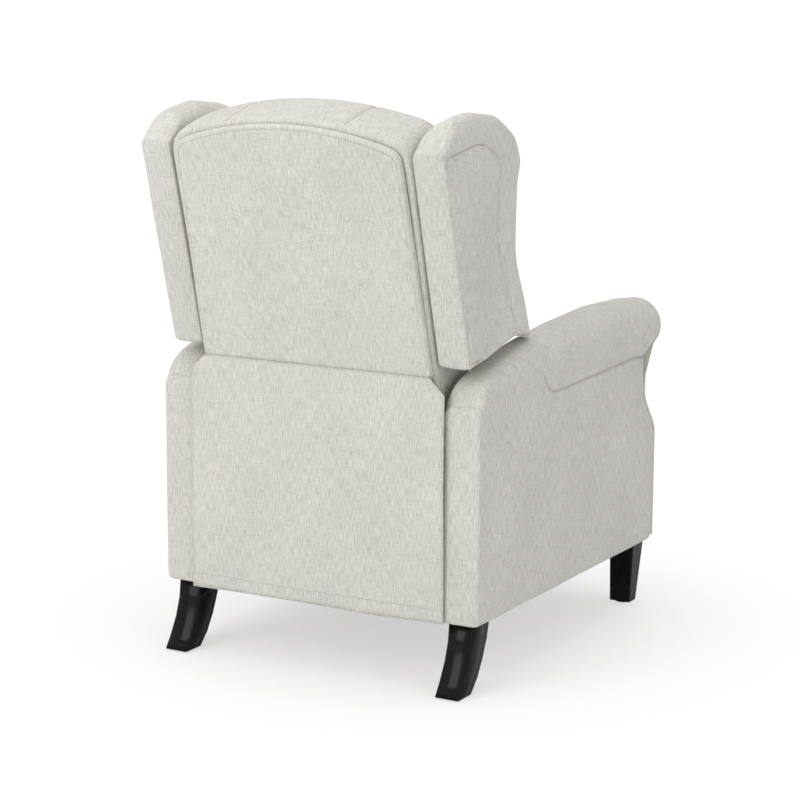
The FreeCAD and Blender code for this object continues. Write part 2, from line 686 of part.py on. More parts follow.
def crank_link():
    """Drive link of the footrest, with a lobe for the guide link."""
    link = tapered_link(PIVOT_A, BOSS_R, PIVOT_B, BOSS_R - 1, CRANK_X)
    link = link.fuse(tapered_link(PIVOT_B, BOSS_R - 1, PIVOT_E, BOSS_R - 1, CRANK_X))
    link = bored(link.removeSplitter(), PIVOT_A, RUN_FIT, CRANK_X)
    link = link.fuse(rivet(PIVOT_B, CRANK_X, OUTER_LINK_X, False))
    return link.fuse(rivet(PIVOT_E, CRANK_X, GUIDE_X, False))


def torque_tube():
    outer = cylinder_x(TUBE_AXIS, TORQUE_TUBE_R, -CRANK_X, CRANK_X)
    return outer.cut(cylinder_x(TUBE_AXIS, TORQUE_TUBE_R - TORQUE_TUBE_WALL,
                                -CRANK_X - 1, CRANK_X + 1))


def control_link():
    link = tapered_link(PIVOT_A2, BOSS_R - 1, PIVOT_D, BOSS_R - 1, CONTROL_X)
    link = bored(link, PIVOT_A2, RUN_FIT, CONTROL_X)
    return bored(link, PIVOT_D, OPEN_FIT, CONTROL_X)


def outer_link():
    """Bell-crank that carries the footrest and is kept level by the control link."""
    link = tapered_link(PIVOT_B, OUTER_BOSS_R, PIVOT_C, OUTER_BOSS_R, OUTER_LINK_X)
    arm = tapered_link(PIVOT_B, OUTER_BOSS_R, PIVOT_D, OUTER_BOSS_R, OUTER_LINK_X)
    link = link.fuse(arm).removeSplitter()
    for pivot in (PIVOT_B, PIVOT_C):
        link = bored(link, pivot, RUN_FIT, OUTER_LINK_X)
    return link.fuse(rivet(PIVOT_D, OUTER_LINK_X + STEEL_T, CONTROL_X + STEEL_T, True))


def guide_link():
    """Link beside the outer link that turns the footrest as it opens."""
    link = tapered_link(PIVOT_E, OUTER_BOSS_R, PIVOT_G, OUTER_BOSS_R, GUIDE_X)
    link = bored(link, PIVOT_E, RUN_FIT, GUIDE_X)
    return bored(link, PIVOT_G, OPEN_FIT, GUIDE_X)


def footrest_screw_places():
    return [(218.0, PIVOT_C[1] - 8), (218.0, PIVOT_C[1] + 62)]


def footrest_bracket():
    """Plate with the last two pivots, folded to a flange on the footrest board."""
    web = [(PIVOT_C[0] + 13, PIVOT_C[1] - 13), (PIVOT_C[0] + 13, PIVOT_G[1] + 12),
           (REST_BOARD_Y + STEEL_T, PIVOT_G[1] + 48), (REST_BOARD_Y, PIVOT_G[1] + 48),
           (REST_BOARD_Y, PIVOT_C[1] - 20), (REST_BOARD_Y + STEEL_T, PIVOT_C[1] - 20)]
    bracket = plate(web, [12, 12, 0, 0, 0, 0], CRANK_X, STEEL_T)
    flange = box((CRANK_X - 34, CRANK_X + STEEL_T), (REST_BOARD_Y, REST_BOARD_Y + STEEL_T),
                 (PIVOT_C[1] - 20, PIVOT_G[1] + 48))
    bracket = bracket.fuse(flange).removeSplitter()
    bracket = bracket.fuse(rivet(PIVOT_C, CRANK_X, OUTER_LINK_X, False))
    return bracket.fuse(rivet(PIVOT_G, CRANK_X, GUIDE_X, False))


def footrest_screws():
    screws = []
    for x, z in footrest_screw_places():
        y = REST_BOARD_Y + STEEL_T
        shank = faceted(8, 2.5, V(x, y, z), V(0, -STEEL_T - 12, 0))
        screws.append(shank.fuse(faceted(6, 4.5, V(x, y, z), V(0, 2, 0))))
    return screws


def footrest_board():
    x, low, high = REST_BOARD_HALF, REST_Z[0] + 8, REST_Z[1] - 6
    corners = [(-x, low), (x, low), (x, high), (-x, high)]
    outline = rounded_wire(corners, 12.0, lambda p: xz(p, REST_BOARD_Y))
    return Part.Face(outline).extrude(V(0, -REST_BOARD_T, 0))


def footrest_pad(board):
    """Padded face of the footrest, wrapped over the edges of its board."""
    thick = REST_BOARD_Y - REST_FACE_Y
    levels = ((REST_BOARD_Y, 2.0, 1.0), (REST_BOARD_Y - 0.8 * thick, 0.0, 2.0),
              (REST_FACE_Y, 10.0, 1.0), (REST_FACE_Y - REST_CROWN, 70.0, 0.5))
    form = soft_block(REST_HALF, REST_Z, levels, lambda p, h: V(p[0], h, p[1]))
    return form.cut(board)


def make_footrest():
    save_pair("crank_link", crank_link())
    save("torque_tube", torque_tube())
    save_pair("control_link", control_link())
    save_pair("outer_link", outer_link())
    save_pair("guide_link", guide_link())
    screws = footrest_screws()
    fixings = Part.makeCompound(both(screws))
    board = footrest_board()
    save_pair("footrest_bracket", footrest_bracket().cut(fixings))
    save("footrest_board", board.cut(fixings))
    save("footrest_pad", footrest_pad(board))
    save("footrest_screws", both(screws))


def tilt(shape):
    """Bring a shape from the upright frame of the back to its place in the chair."""
    shape = shape.copy()
    shape.rotate(V(0, 0, 0), V(1, 0, 0), -BACK_TILT)
    shape.translate(yz(BACK_FOOT))
    return shape


def back_outline(depth, inset, low, half_low, half_top, shoulder, crest):
    """Front view of the back at a depth: straight sides under an arched crest."""
    xl, xt = half_low - inset, half_top - inset
    z0, z1, z2 = low + inset, shoulder - inset * 1.1, crest - inset
    r = max(10.0, 26.0 - inset / 4)
    arch = ((z2 - z1) ** 2 + xt ** 2) / (2 * (z2 - z1))

    def at(x, z):
        return V(x, -depth, z)

    def arc_z(x):
        return z2 - arch + math.sqrt(arch ** 2 - x ** 2)

    edge_x = xt - r
    ease = 0.27 * r
    edges = [
        Part.LineSegment(at(-xl, z0), at(xl, z0)),
        Part.LineSegment(at(xl, z0), at(xt, z1 - r)),
        Part.Arc(at(xt, z1 - r), at(xt - ease, arc_z(xt) - ease), at(edge_x, arc_z(edge_x))),
        Part.Arc(at(edge_x, arc_z(edge_x)), at(0, z2), at(-edge_x, arc_z(edge_x))),
        Part.Arc(at(-edge_x, arc_z(edge_x)), at(ease - xt, arc_z(xt) - ease), at(-xt, z1 - r)),
        Part.LineSegment(at(-xt, z1 - r), at(-xl, z0)),
    ]
    return Part.Wire([edge.toShape() for edge in edges])


def back_frame():
    """Posts and rails of the back; the top rail follows the crest."""
    depth = (-BACK_SKIN - BACK_RAIL_D, -BACK_SKIN)
    inner, outer = BACK_POST_X
    post = box((inner, outer), depth, (10.0, 640.0))
    low_rail = box((-inner, inner), depth, (BACK_BOTTOM, BACK_BOTTOM + 50))
    mid_rail = box((-inner, inner), depth, (PANEL_BOTTOM - 14, PANEL_BOTTOM + 36))
    arch = Part.Wire([
        Part.LineSegment(V(-outer, depth[1], 640), V(outer, depth[1], 640)).toShape(),
        Part.LineSegment(V(outer, depth[1], 640), V(outer, depth[1], 662)).toShape(),
        Part.Arc(V(outer, depth[1], 662), V(0, depth[1], 700),
                 V(-outer, depth[1], 662)).toShape(),
        Part.LineSegment(V(-outer, depth[1], 662), V(-outer, depth[1], 640)).toShape()])
    top_rail = Part.Face(arch).extrude(V(0, -BACK_RAIL_D, 0))
    return both([post]) + [low_rail, mid_rail, top_rail]


def back_bolt_places():
    """Bolts of the hinge bracket, on the middle of the post, as (y, z) in the chair."""
    places = []
    for s in (60.0, 190.0):
        point = tilt(Part.Vertex(0, -BACK_SKIN - BACK_RAIL_D / 2, s)).Point
        places.append((point.y, point.z))
    return places


def back_bracket():
    low, high = back_bolt_places()
    arm = tapered_link(BACK_HINGE, 15.0, low, 17.0, BACK_BRACKET_X)
    arm = arm.fuse(tapered_link(low, 17.0, high, 14.0, BACK_BRACKET_X)).removeSplitter()
    return bored(arm, BACK_HINGE, RUN_FIT, BACK_BRACKET_X)


def frustum(sides, radius, small, centre, depth):
    """A many-sided frustum that narrows from the front of the back towards -Y by depth."""
    wires = []
    for r, y in ((radius, 0.0), (small, depth)):
        points = [centre + V(r * math.cos(2 * math.pi * i / sides), y,
                             r * math.sin(2 * math.pi * i / sides)) for i in range(sides + 1)]
        wires.append(Part.makePolygon(points))
    return ruled(wires)


def tuft_places(depth):
    """The middles of the tufts at a depth, in the upright frame of the back."""
    return [V(x, -depth, s) for s, row in TUFT_ROWS for x in row]


def tuft_cuts():
    """Faceted hollows that press the tufts into the front of the back."""
    return [frustum(8, TUFT_R, BUTTON_R + 1, place, TUFT_DEPTH)
            for place in tuft_places(BACK_PAD_DEPTH)]


def buttons():
    """Domed buttons at the bottom of the tufts."""
    return [frustum(12, BUTTON_R, BUTTON_R * 0.55, place, -BUTTON_T)
            for place in tuft_places(BACK_PAD_DEPTH - TUFT_DEPTH)]


def back_pad_form():
    full = (BACK_BOTTOM, BACK_HALF_LOW, BACK_HALF, BACK_SHOULDER, BACK_CREST)
    levels = ((BACK_COVER, 2.0), (112.0, 0.0), (134.0, 10.0), (BACK_PAD_DEPTH, 32.0))
    return ruled([back_outline(depth, inset, *full) for depth, inset in levels])


def outer_panel():
    """Padded outer back with a soft crown and an eased edge."""
    full = (PANEL_BOTTOM, PANEL_HALF_LOW, PANEL_HALF_TOP, PANEL_SHOULDER, PANEL_TOP)
    levels = ((BACK_COVER, 0.0), (0.0, 0.0), (-PANEL_PROUD, 12.0), (-PANEL_PROUD - 3, 70.0))
    return ruled([back_outline(depth, inset, *full) for depth, inset in levels])


def inset_outline(points, radii, inset):
    """Move every side of an outline inwards, and ease its corners to match."""
    count = len(points)
    area = sum(points[i - 1][0] * points[i][1] - points[i][0] * points[i - 1][1]
               for i in range(count))
    side = 1.0 if area > 0 else -1.0
    lines = []
    for i, (px, pz) in enumerate(points):
        qx, qz = points[(i + 1) % count]
        size = math.hypot(qx - px, qz - pz)
        ux, uz = (qx - px) / size, (qz - pz) / size
        lines.append((px - side * uz * inset, pz + side * ux * inset, ux, uz))
    moved, eased = [], []
    for i in range(count):
        ax, az, aux, auz = lines[i - 1]
        bx, bz, bux, buz = lines[i]
        turn = aux * buz - auz * bux
        t = ((bx - ax) * buz - (bz - az) * bux) / turn
        moved.append((ax + aux * t, az + auz * t))
        grow = -inset if turn * side > 0 else inset
        eased.append(max(2.0, radii[i] + grow))
    return moved, eased


def wing_outline(inset, x):
    """Side view of the wing: straight rear edge, high peak and a swept front."""
    points = [(317.0, 577.0), (250.0, 588.0), (149.0, 616.0), (80.0, 600.0), (117.0, 680.0),
              (155.0, 762.0), (150.0, 890.0), (136.0, 930.0), (158.0, 975.0), (215.0, 1012.0),
              (300.0, 1021.0), (385.0, 1014.0), (417.0, 962.0)]
    radii = [12, 60, 20, 16, 120, 100, 60, 40, 50, 70, 100, 28, 40]
    moved, eased = inset_outline(points, radii, inset)
    return rounded_wire(moved, eased, lambda p: yz(p, x))


def wing_parts():
    inner, outer = WING_X
    levels = ((inner, 8.0), (inner + 12, 0.0), (outer - 12, 0.0), (outer, 9.0))
    form = ruled([wing_outline(inset, x) for x, inset in levels])
    board = Part.Face(wing_outline(WING_BOARD_INSET, WING_BOARD_X[0]))
    board = board.extrude(V(WING_BOARD_X[1] - WING_BOARD_X[0], 0, 0))
    return form.cut(board), board


def tack_strip():
    """Strip on the back that the top seam of the flap is sewn to."""
    rise = math.radians(BACK_TILT)
    dy, dz = FLAP_SEAM[0] - BACK_FOOT[0], FLAP_SEAM[1] - BACK_FOOT[1]
    proud = dy * math.cos(rise) - dz * math.sin(rise) - FLAP_T / 2 - SEAM_CLEAR
    height = dy * math.sin(rise) + dz * math.cos(rise)
    return box((-FLAP_TOP_HALF, FLAP_TOP_HALF), (-BACK_COVER, proud),
               (height - 6, PANEL_BOTTOM - SEAM_CLEAR))


def flap_wire(half, z, wave):
    """Level section of the flap: a thin ribbon that waves between its edges."""
    folds = FLAP_FOLDS
    step = 2 * half / folds
    y0, y1 = FLAP_SEAM[0] - FLAP_T / 2, FLAP_SEAM[0] + FLAP_T / 2
    edges = []

    def run(y, order):
        for i in order:
            a = -half + i * step
            sign = 1 if i % 2 == 0 else -1
            start, end = (a, a + step) if order[0] == 0 else (a + step, a)
            edges.append(Part.Arc(V(start, y, z), V((start + end) / 2, y + sign * wave, z),
                                  V(end, y, z)).toShape())

    run(y0, list(range(folds)))
    edges.append(Part.LineSegment(V(half, y0, z), V(half, y1, z)).toShape())
    run(y1, list(range(folds - 1, -1, -1)))
    edges.append(Part.LineSegment(V(-half, y1, z), V(-half, y0, z)).toShape())
    return Part.Wire(edges)


def rear_flap():
    levels = ((FLAP_TOP_HALF, FLAP_SEAM[1], 0.2), (FLAP_HALF, FLAP_SHOULDER_Z, 0.2),
              (FLAP_HALF, FLAP_HEM_Z, FLAP_WAVE))
    return ruled([flap_wire(half, z, wave) for half, z, wave in levels])


def make_back():
    bracket = back_bracket()
    bolts = [bolt_x(place, 3.5, BACK_BRACKET_X + STEEL_T, BACK_POST_X[0] + 4)
             for place in back_bolt_places()]
    fixings = Part.makeCompound(both(bolts))
    frame = [tilt(board) for board in back_frame()]
    studs = [tilt(button) for button in buttons()]
    pad = back_pad_form().cut(Part.makeCompound(tuft_cuts()))
    pad = tilt(pad).cut(Part.makeCompound(frame + studs + both([bracket])))
    save("back_frame", [board.cut(fixings) for board in frame])
    save_pair("back_bracket", bracket.cut(fixings))
    save("back_bolts", both(bolts))
    save("back_pad", pad.cut(fixings))
    save("tuft_buttons", studs)
    save("outer_back", tilt(outer_panel()))
    save("flap_tack_strip", tilt(tack_strip()))
    wing, board = wing_parts()
    save_pair("wing_pad", wing)
    save_pair("wing_frame", board)
    save("rear_flap", rear_flap())


os.makedirs("parts", exist_ok=True)
make_base()
make_seat()
make_footrest()
make_back()
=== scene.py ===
"""Wingback recliner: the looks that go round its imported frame.

Metres, +Z up. The chair faces -Y, and the sitter's left is at +X.
"""

import json
import logging
import math
from collections.abc import Callable, Iterable, Sequence
from dataclasses import dataclass, replace
from enum import Enum
from itertools import repeat

import bmesh
import bpy
from mathutils import Matrix, Vector, noise


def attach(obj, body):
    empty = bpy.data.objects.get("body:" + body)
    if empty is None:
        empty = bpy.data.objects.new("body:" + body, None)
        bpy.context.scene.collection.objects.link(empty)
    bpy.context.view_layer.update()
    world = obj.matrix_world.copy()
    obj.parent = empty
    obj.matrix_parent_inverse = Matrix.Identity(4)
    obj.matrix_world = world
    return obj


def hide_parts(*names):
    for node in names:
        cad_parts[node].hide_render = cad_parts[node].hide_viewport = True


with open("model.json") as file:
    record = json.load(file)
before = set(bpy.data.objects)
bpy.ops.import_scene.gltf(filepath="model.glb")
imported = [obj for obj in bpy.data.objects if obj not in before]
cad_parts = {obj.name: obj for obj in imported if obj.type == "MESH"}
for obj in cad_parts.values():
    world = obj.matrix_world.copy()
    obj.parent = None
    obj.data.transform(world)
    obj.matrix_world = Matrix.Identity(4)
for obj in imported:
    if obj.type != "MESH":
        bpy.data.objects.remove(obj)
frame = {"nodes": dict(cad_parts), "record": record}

LOG = logging.getLogger("recliner")
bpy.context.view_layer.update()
X_AXIS, Y_AXIS, Z_AXIS = Vector((1, 0, 0)), Vector((0, 1, 0)), Vector((0, 0, 1))

LEVEL_SHARE = 0.8  # how much a face's look upwards counts when cloth is laid on it
CLOTH_FRAMES = 20  # how long a cover is blown up

Pair = tuple[float, float]
Colour = tuple[float, float, float, float]


class Side(Enum):
    """Which side of the chair a piece is on, as the sign of its X."""

    LEFT = 1
    RIGHT = -1

    @property
    def tag(self) -> str:
        """The ending of a node's name on this side."""
        return self.name.lower()


class Slot(Enum):
    """The record's material slots."""

    UPHOLSTERY = "upholstery"
    PIPING = "piping"
    DECK_CLOTH = "deck_cloth"
    FRAME_WOOD = "frame_wood"
    PLYWOOD = "plywood"
    BLACK_LACQUER = "black_lacquer"
    GLIDE_PLASTIC = "glide_plastic"
    MECHANISM_STEEL = "mechanism_steel"
    FIXINGS = "fixings"
    WEBBING = "webbing"


# Plane geometry of outlines


def line(start: Pair, end: Pair, count: int) -> list[Pair]:
    """Evenly spaced points from start to end, both included."""
    return [(start[0] + (end[0] - start[0]) * i / (count - 1),
             start[1] + (end[1] - start[1]) * i / (count - 1)) for i in range(count)]


def arc(centre: Pair, radius: float, start: float, end: float, count: int) -> list[Pair]:
    """Points on an arc between two angles in degrees, both included."""
    angles = [math.radians(a) for a, _ in line((start, 0.0), (end, 0.0), count)]
    return [(centre[0] + radius * math.cos(a), centre[1] + radius * math.sin(a))
            for a in angles]


def bend(start: Pair, pull: Pair, end: Pair, count: int) -> list[Pair]:
    """Points on a curve from start to end that leans towards pull."""
    made = []
    for i in range(count):
        t = i / (count - 1)
        a, b, c = (1 - t) ** 2, 2 * t * (1 - t), t ** 2
        made.append((a * start[0] + b * pull[0] + c * end[0],
                     a * start[1] + b * pull[1] + c * end[1]))
    return made


def ease(t: float) -> float:
    """A smooth step from 0 to 1."""
    t = min(1.0, max(0.0, t))
    return t * t * (3 - 2 * t)


def area_sign(points: Sequence[Pair]) -> float:
    """1 for an outline that runs anticlockwise, else -1."""
    total = sum(points[i - 1][0] * p[1] - p[0] * points[i - 1][1]
                for i, p in enumerate(points))
    return 1.0 if total > 0 else -1.0


def draw_in(points: Sequence[Pair], share: float) -> list[Pair]:
    """Move every point a share of its way towards the middle of the outline."""
    mx = sum(p[0] for p in points) / len(points)
    mz = sum(p[1] for p in points) / len(points)
    return [(x + (mx - x) * share, z + (mz - z) * share) for x, z in points]


@dataclass(frozen=True)
class Outline:
    """A closed outline of straight runs with rounded corners.

    Attributes:
        corners: The corners in order.
        radii: The radius at each corner.
        bend_points: How many points each rounded corner gets.
        run_step: The greatest gap between points on a run.
    """

    corners: tuple[Pair, ...]
    radii: tuple[float, ...]
    bend_points: int = 5
    run_step: float = 0.02

    def points(self, insets: Sequence[float], least: float = 0.004) -> list[Pair]:
        """Draw the outline with each run moved inwards by its own amount.

        Args:
            insets: One amount for each run, from its corner to the next.
            least: The smallest radius that a corner may have.

        Returns:
            The points, always as many and in the same order.
        """
        count = len(self.corners)
        side = area_sign(self.corners)
        runs = []
        for i, (px, pz) in enumerate(self.corners):
            qx, qz = self.corners[(i + 1) % count]
            size = math.hypot(qx - px, qz - pz)
            ux, uz = (qx - px) / size, (qz - pz) / size
            runs.append((px - side * uz * insets[i], pz + side * ux * insets[i], ux, uz, size))
        moved = [self._crossing(runs[i - 1], runs[i]) for i in range(count)]
        bends = [self._corner(moved, runs, insets, i, side, least) for i in range(count)]
        made: list[Pair] = []
        for i, here in enumerate(bends):
            following = bends[(i + 1) % count]
            gaps = max(1, math.ceil(runs[i][4] / self.run_step))
            made += here + line(here[-1], following[0], gaps + 1)[1:-1]
        return made

    def _crossing(self, a: Sequence[float], b: Sequence[float]) -> Pair:
        """Where two moved runs meet."""
        turn = a[2] * b[3] - a[3] * b[2]
        t = ((b[0] - a[0]) * b[3] - (b[1] - a[1]) * b[2]) / turn
        return (a[0] + a[2] * t, a[1] + a[3] * t)

    def _corner(self, moved: Sequence[Pair], runs: Sequence[Sequence[float]],
                insets: Sequence[float], i: int, side: float, least: float) -> list[Pair]:
        """The points of one rounded corner."""
        before, after = runs[i - 1], runs[i]
        turn = math.asin(max(-1.0, min(1.0, before[2] * after[3] - before[3] * after[2])))
        inset = (insets[i - 1] + insets[i]) / 2
        radius = max(least, self.radii[i] - (inset if turn * side > 0 else -inset))
        here = moved[i]
        room = min(math.dist(here, moved[i - 1]), math.dist(here, moved[(i + 1) % len(moved)]))
        cut = min(radius * abs(math.tan(turn / 2)), 0.45 * room)
        start = (here[0] - before[2] * cut, here[1] - before[3] * cut)
        end = (here[0] + after[2] * cut, here[1] + after[3] * cut)
        return bend(start, here, end, self.bend_points)


# Meshes


class Form:
    """A piece in the making, grown from a ring of points by operators."""

    def __init__(self) -> None:
        """Start with nothing."""
        self.bm = bmesh.new()

    def ring(self, points: Iterable[Vector], closed: bool = True) -> list[bmesh.types.BMVert]:
        """Start from a ring, or an open row, of points."""
        verts = [self.bm.verts.new(p) for p in points]
        for a, b in zip(verts, verts[1:] + (verts[:1] if closed else [])):
            self.bm.edges.new((a, b))
        return verts

    def edges_of(self, loop: Sequence[bmesh.types.BMVert],
                 closed: bool = True) -> list[bmesh.types.BMEdge]:
        """The edges that join a ring's points."""
        following = list(loop[1:]) + ([loop[0]] if closed else [])
        return [self.bm.edges.get((a, b)) for a, b in zip(loop, following)]

    def extend(self, loop: Sequence[bmesh.types.BMVert], points: Sequence[Vector],
               closed: bool = True) -> list[bmesh.types.BMVert]:
        """Extrude a ring and move its new copy to the given points.

        Args:
            loop: The ring to extrude.
            points: Where its copy goes, one for each of its points.
            closed: False for an open row.

        Returns:
            The new ring.
        """
        made = bmesh.ops.extrude_edge_only(self.bm, edges=self.edges_of(loop, closed))["geom"]
        fresh = {v for v in made if isinstance(v, bmesh.types.BMVert)}
        copy = [next(e.other_vert(v) for e in v.link_edges if e.other_vert(v) in fresh)
                for v in loop]
        for vert, point in zip(copy, points):
            vert.co = point
        return copy

    def skin(self, rings: Sequence[Sequence[Vector]]) -> list[bmesh.types.BMFace]:
        """Grow a skin through the rings, and close its ends.

        Args:
            rings: Rings of as many points each.

        Returns:
            The two end faces.
        """
        first = loop = self.ring(rings[0])
        for points in rings[1:]:
            loop = self.extend(loop, points)
        return [self.bm.faces.new(first), self.bm.faces.new(loop)]

    def sheet(self, corners: Iterable[Vector], across: Vector, along: Vector,
              step: float) -> list[bmesh.types.BMVert]:
        """Fill a flat outline with squares and give their corners, as cut_grid does."""
        return self.cut_grid(self.bm.faces.new(self.ring(corners)), across, along, step)

    def cut_grid(self, face: bmesh.types.BMFace, across: Vector, along: Vector,
                 step: float) -> list[bmesh.types.BMVert]:
        """Cut a flat face into squares.

        Args:
            face: The face.
            across: One direction of the squares, of length 1.
            along: The other direction.
            step: The size of a square.

        Returns:
            The corners of the squares.
        """
        face.material_index = 1
        for way in (across, along):
            spread = [v.co.dot(way) for f in self.bm.faces if f.material_index == 1
                      for v in f.verts]
            low, high = min(spread), max(spread)
            gaps = max(1, round((high - low) / step))
            for i in range(1, gaps):
                marked = [f for f in self.bm.faces if f.material_index == 1]
                geom = marked + list({e for f in marked for e in f.edges}
                                     | {v for f in marked for v in f.verts})
                bmesh.ops.bisect_plane(self.bm, geom=geom, dist=1e-6, plane_no=way,
                                       plane_co=way * (low + (high - low) * i / gaps))
        marked = [f for f in self.bm.faces if f.material_index == 1]
        for f in marked:
            f.material_index = 0
        return list({v for f in marked for v in f.verts})

    def done(self, name: str, smooth: int = 0) -> bpy.types.Object:
        """Turn the form into an object.

        Args:
            name: The piece's name.
            smooth: How many times a subdivision surface divides it.

        Returns:
            The object, at the origin, with its place in its mesh.
        """
        bmesh.ops.remove_doubles(self.bm, verts=self.bm.verts, dist=1e-6)
        bmesh.ops.recalc_face_normals(self.bm, faces=self.bm.faces)
        mesh = bpy.data.meshes.new(name)
        self.bm.to_mesh(mesh)
        self.bm.free()
        return place_mesh(name, mesh, smooth)


def place_mesh(name: str, mesh: bpy.types.Mesh, smooth: int = 0) -> bpy.types.Object:
    """Put a mesh in the scene as a smooth-shaded object."""
    mesh.polygons.foreach_set("use_smooth", [True] * len(mesh.polygons))
    obj = bpy.data.objects.new(name, mesh)
    bpy.context.scene.collection.objects.link(obj)
    if smooth:
        modifier = obj.modifiers.new("Smooth", "SUBSURF")
        modifier.levels = modifier.render_levels = smooth
        modifier.uv_smooth = "NONE"
    return obj


def tube(name: str, points: Sequence[Vector], radius: float, closed: bool) -> bpy.types.Object:
    """A round piping along a row of points, as a mesh."""
    curve = bpy.data.curves.new(name + "_line", "CURVE")
    curve.dimensions = "3D"
    curve.bevel_depth = radius
    curve.bevel_resolution = 3
    curve.use_fill_caps = True
    spline = curve.splines.new("POLY")
    spline.points.add(len(points) - 1)
    for point, place in zip(spline.points, points):
        point.co = (*place, 1.0)
    spline.use_cyclic_u = closed
    carrier = bpy.data.objects.new(name + "_line", curve)
    bpy.context.scene.collection.objects.link(carrier)
    mesh = bpy.data.meshes.new_from_object(carrier)
    bpy.data.objects.remove(carrier)
    bpy.data.curves.remove(curve)
    mesh.name = name
    return place_mesh(name, mesh)


def thicken(obj: bpy.types.Object, thick: float) -> None:
    """Give a sheet its thickness, half of it to each side."""
    solid = obj.modifiers.new("Thickness", "SOLIDIFY")
    solid.thickness, solid.offset = thick, 0.0


def box_cloth(co: Vector, normal: Vector) -> Pair:
    """Lay cloth on a face from the side that it looks to, its warp upright."""
    ax, ay, az = abs(normal.x), abs(normal.y), LEVEL_SHARE * abs(normal.z)
    if ax >= ay and ax >= az:
        return (co.y, co.z)
    if ay >= az:
        return (co.x, co.z)
    return (co.x, co.y)


def lay_cloth(obj: bpy.types.Object,
              where: Callable[[Vector, Vector], Pair] = box_cloth) -> None:
    """Give a piece its cloth map, in metres of cloth.

    Args:
        obj: The piece.
        where: Says where on the cloth a point lies, from its place and its face's normal.
    """
    mesh = obj.data
    layer = mesh.uv_layers.new(name="Cloth")
    spots = [0.0] * (2 * len(mesh.loops))
    for face in mesh.polygons:
        normal = face.normal
        for corner in face.loop_indices:
            u, v = where(mesh.vertices[mesh.loops[corner].vertex_index].co, normal)
            spots[2 * corner], spots[2 * corner + 1] = u, v
    layer.data.foreach_set("uv", spots)


def ripple(obj: bpy.types.Object, height: float, size: float, seed: float) -> None:
    """Give a padded piece the slight unevenness of stuffing.

    Args:
        obj: The piece, before its modifiers.
        height: The greatest rise, in metres.
        size: The width of a swell, in metres.
        seed: Shifts the pattern.
    """
    shift = Vector((seed, seed * 0.7, seed * 0.3))
    normals = [v.normal.copy() for v in obj.data.vertices]
    for vert, normal in zip(obj.data.vertices, normals):
        vert.co += normal * (height * noise.noise(vert.co / size + shift))


class Stitching:
    """A run of small sewn stitches that lie on the cloth."""

    LENGTH = 0.0042
    PITCH = 0.0062
    WIDTH = 0.0009
    HEIGHT = 0.7 * WIDTH

    def __init__(self, name: str) -> None:
        """Start a piece that will hold stitches."""
        self.name = name
        self.form = Form()

    def sew(self, points: Sequence[Vector], outwards: Vector, closed: bool = False) -> None:
        """Lay stitches along a row of points.

        Args:
            points: The sewing line on the cloth.
            outwards: The direction away from the cloth.
            closed: True where the line comes round to its start.
        """
        path = list(points) + ([points[0]] if closed else [])
        carried = 0.0
        for a, b in zip(path, path[1:]):
            span = (b - a).length
            if span < 1e-7:
                continue
            along = (b - a) / span
            while carried < span:
                self._stitch(a + along * carried, along, outwards)
                carried += self.PITCH
            carried -= span

    def _stitch(self, middle: Vector, along: Vector, outwards: Vector) -> None:
        """Add one stitch."""
        across = along.cross(outwards).normalized()
        up = across.cross(along).normalized()
        turn = Matrix((along, across, up)).transposed().to_4x4()
        shape = Matrix.Diagonal((self.LENGTH, self.WIDTH, self.HEIGHT, 1.0))
        bmesh.ops.create_cube(self.form.bm, size=1.0,
                              matrix=Matrix.Translation(middle) @ turn @ shape)

    def done(self) -> bpy.types.Object:
        """Make the object."""
        return self.form.done(self.name)


def inflate(obj: bpy.types.Object, voxel: float, pressure: float, cap: float) -> None:
    """Blow a closed cover up a little with a cloth simulation and keep the result.

    Args:
        obj: The cover, which starts slightly small.
        voxel: The size of the mesh that is simulated.
        pressure: The pressure inside.
        cap: The farthest that a point may move.
    """
    remesh = obj.modifiers.new("Even", "REMESH")
    remesh.mode = "VOXEL"
    remesh.voxel_size = voxel
    _keep_result(obj)
    start = [v.co.copy() for v in obj.data.vertices]
    cloth = obj.modifiers.new("Cloth", "CLOTH")
    cloth.settings.use_pressure = True
    cloth.settings.uniform_pressure_force = pressure
    cloth.settings.effector_weights.gravity = 0.0
    cloth.settings.quality = 5
    cloth.point_cache.frame_start, cloth.point_cache.frame_end = 1, CLOTH_FRAMES
    scene = bpy.context.scene
    for step in range(CLOTH_FRAMES):
        scene.frame_set(step + 1)
    _keep_result(obj)
    scene.frame_set(1)
    for vert, origin in zip(obj.data.vertices, start):
        moved = vert.co - origin
        if moved.length > cap:
            vert.co = origin + moved * (cap / moved.length)


def fill_box(points: Sequence[Vector], low: Vector, high: Vector) -> list[Vector]:
    """Scale points along each axis so that together they just fill a box."""
    least = [min(p[i] for p in points) for i in range(3)]
    most = [max(p[i] for p in points) for i in range(3)]
    return [Vector(low[i] + (p[i] - least[i]) * (high[i] - low[i]) / (most[i] - least[i])
                   for i in range(3)) for p in points]


def _keep_result(obj: bpy.types.Object) -> None:
    """Replace an object's mesh by what its modifiers make of it."""
    graph = bpy.context.evaluated_depsgraph_get()
    graph.update()
    mesh = bpy.data.meshes.new_from_object(obj.evaluated_get(graph))
    obj.modifiers.clear()
    old, obj.data = obj.data, mesh
    bpy.data.meshes.remove(old)


# Finishes


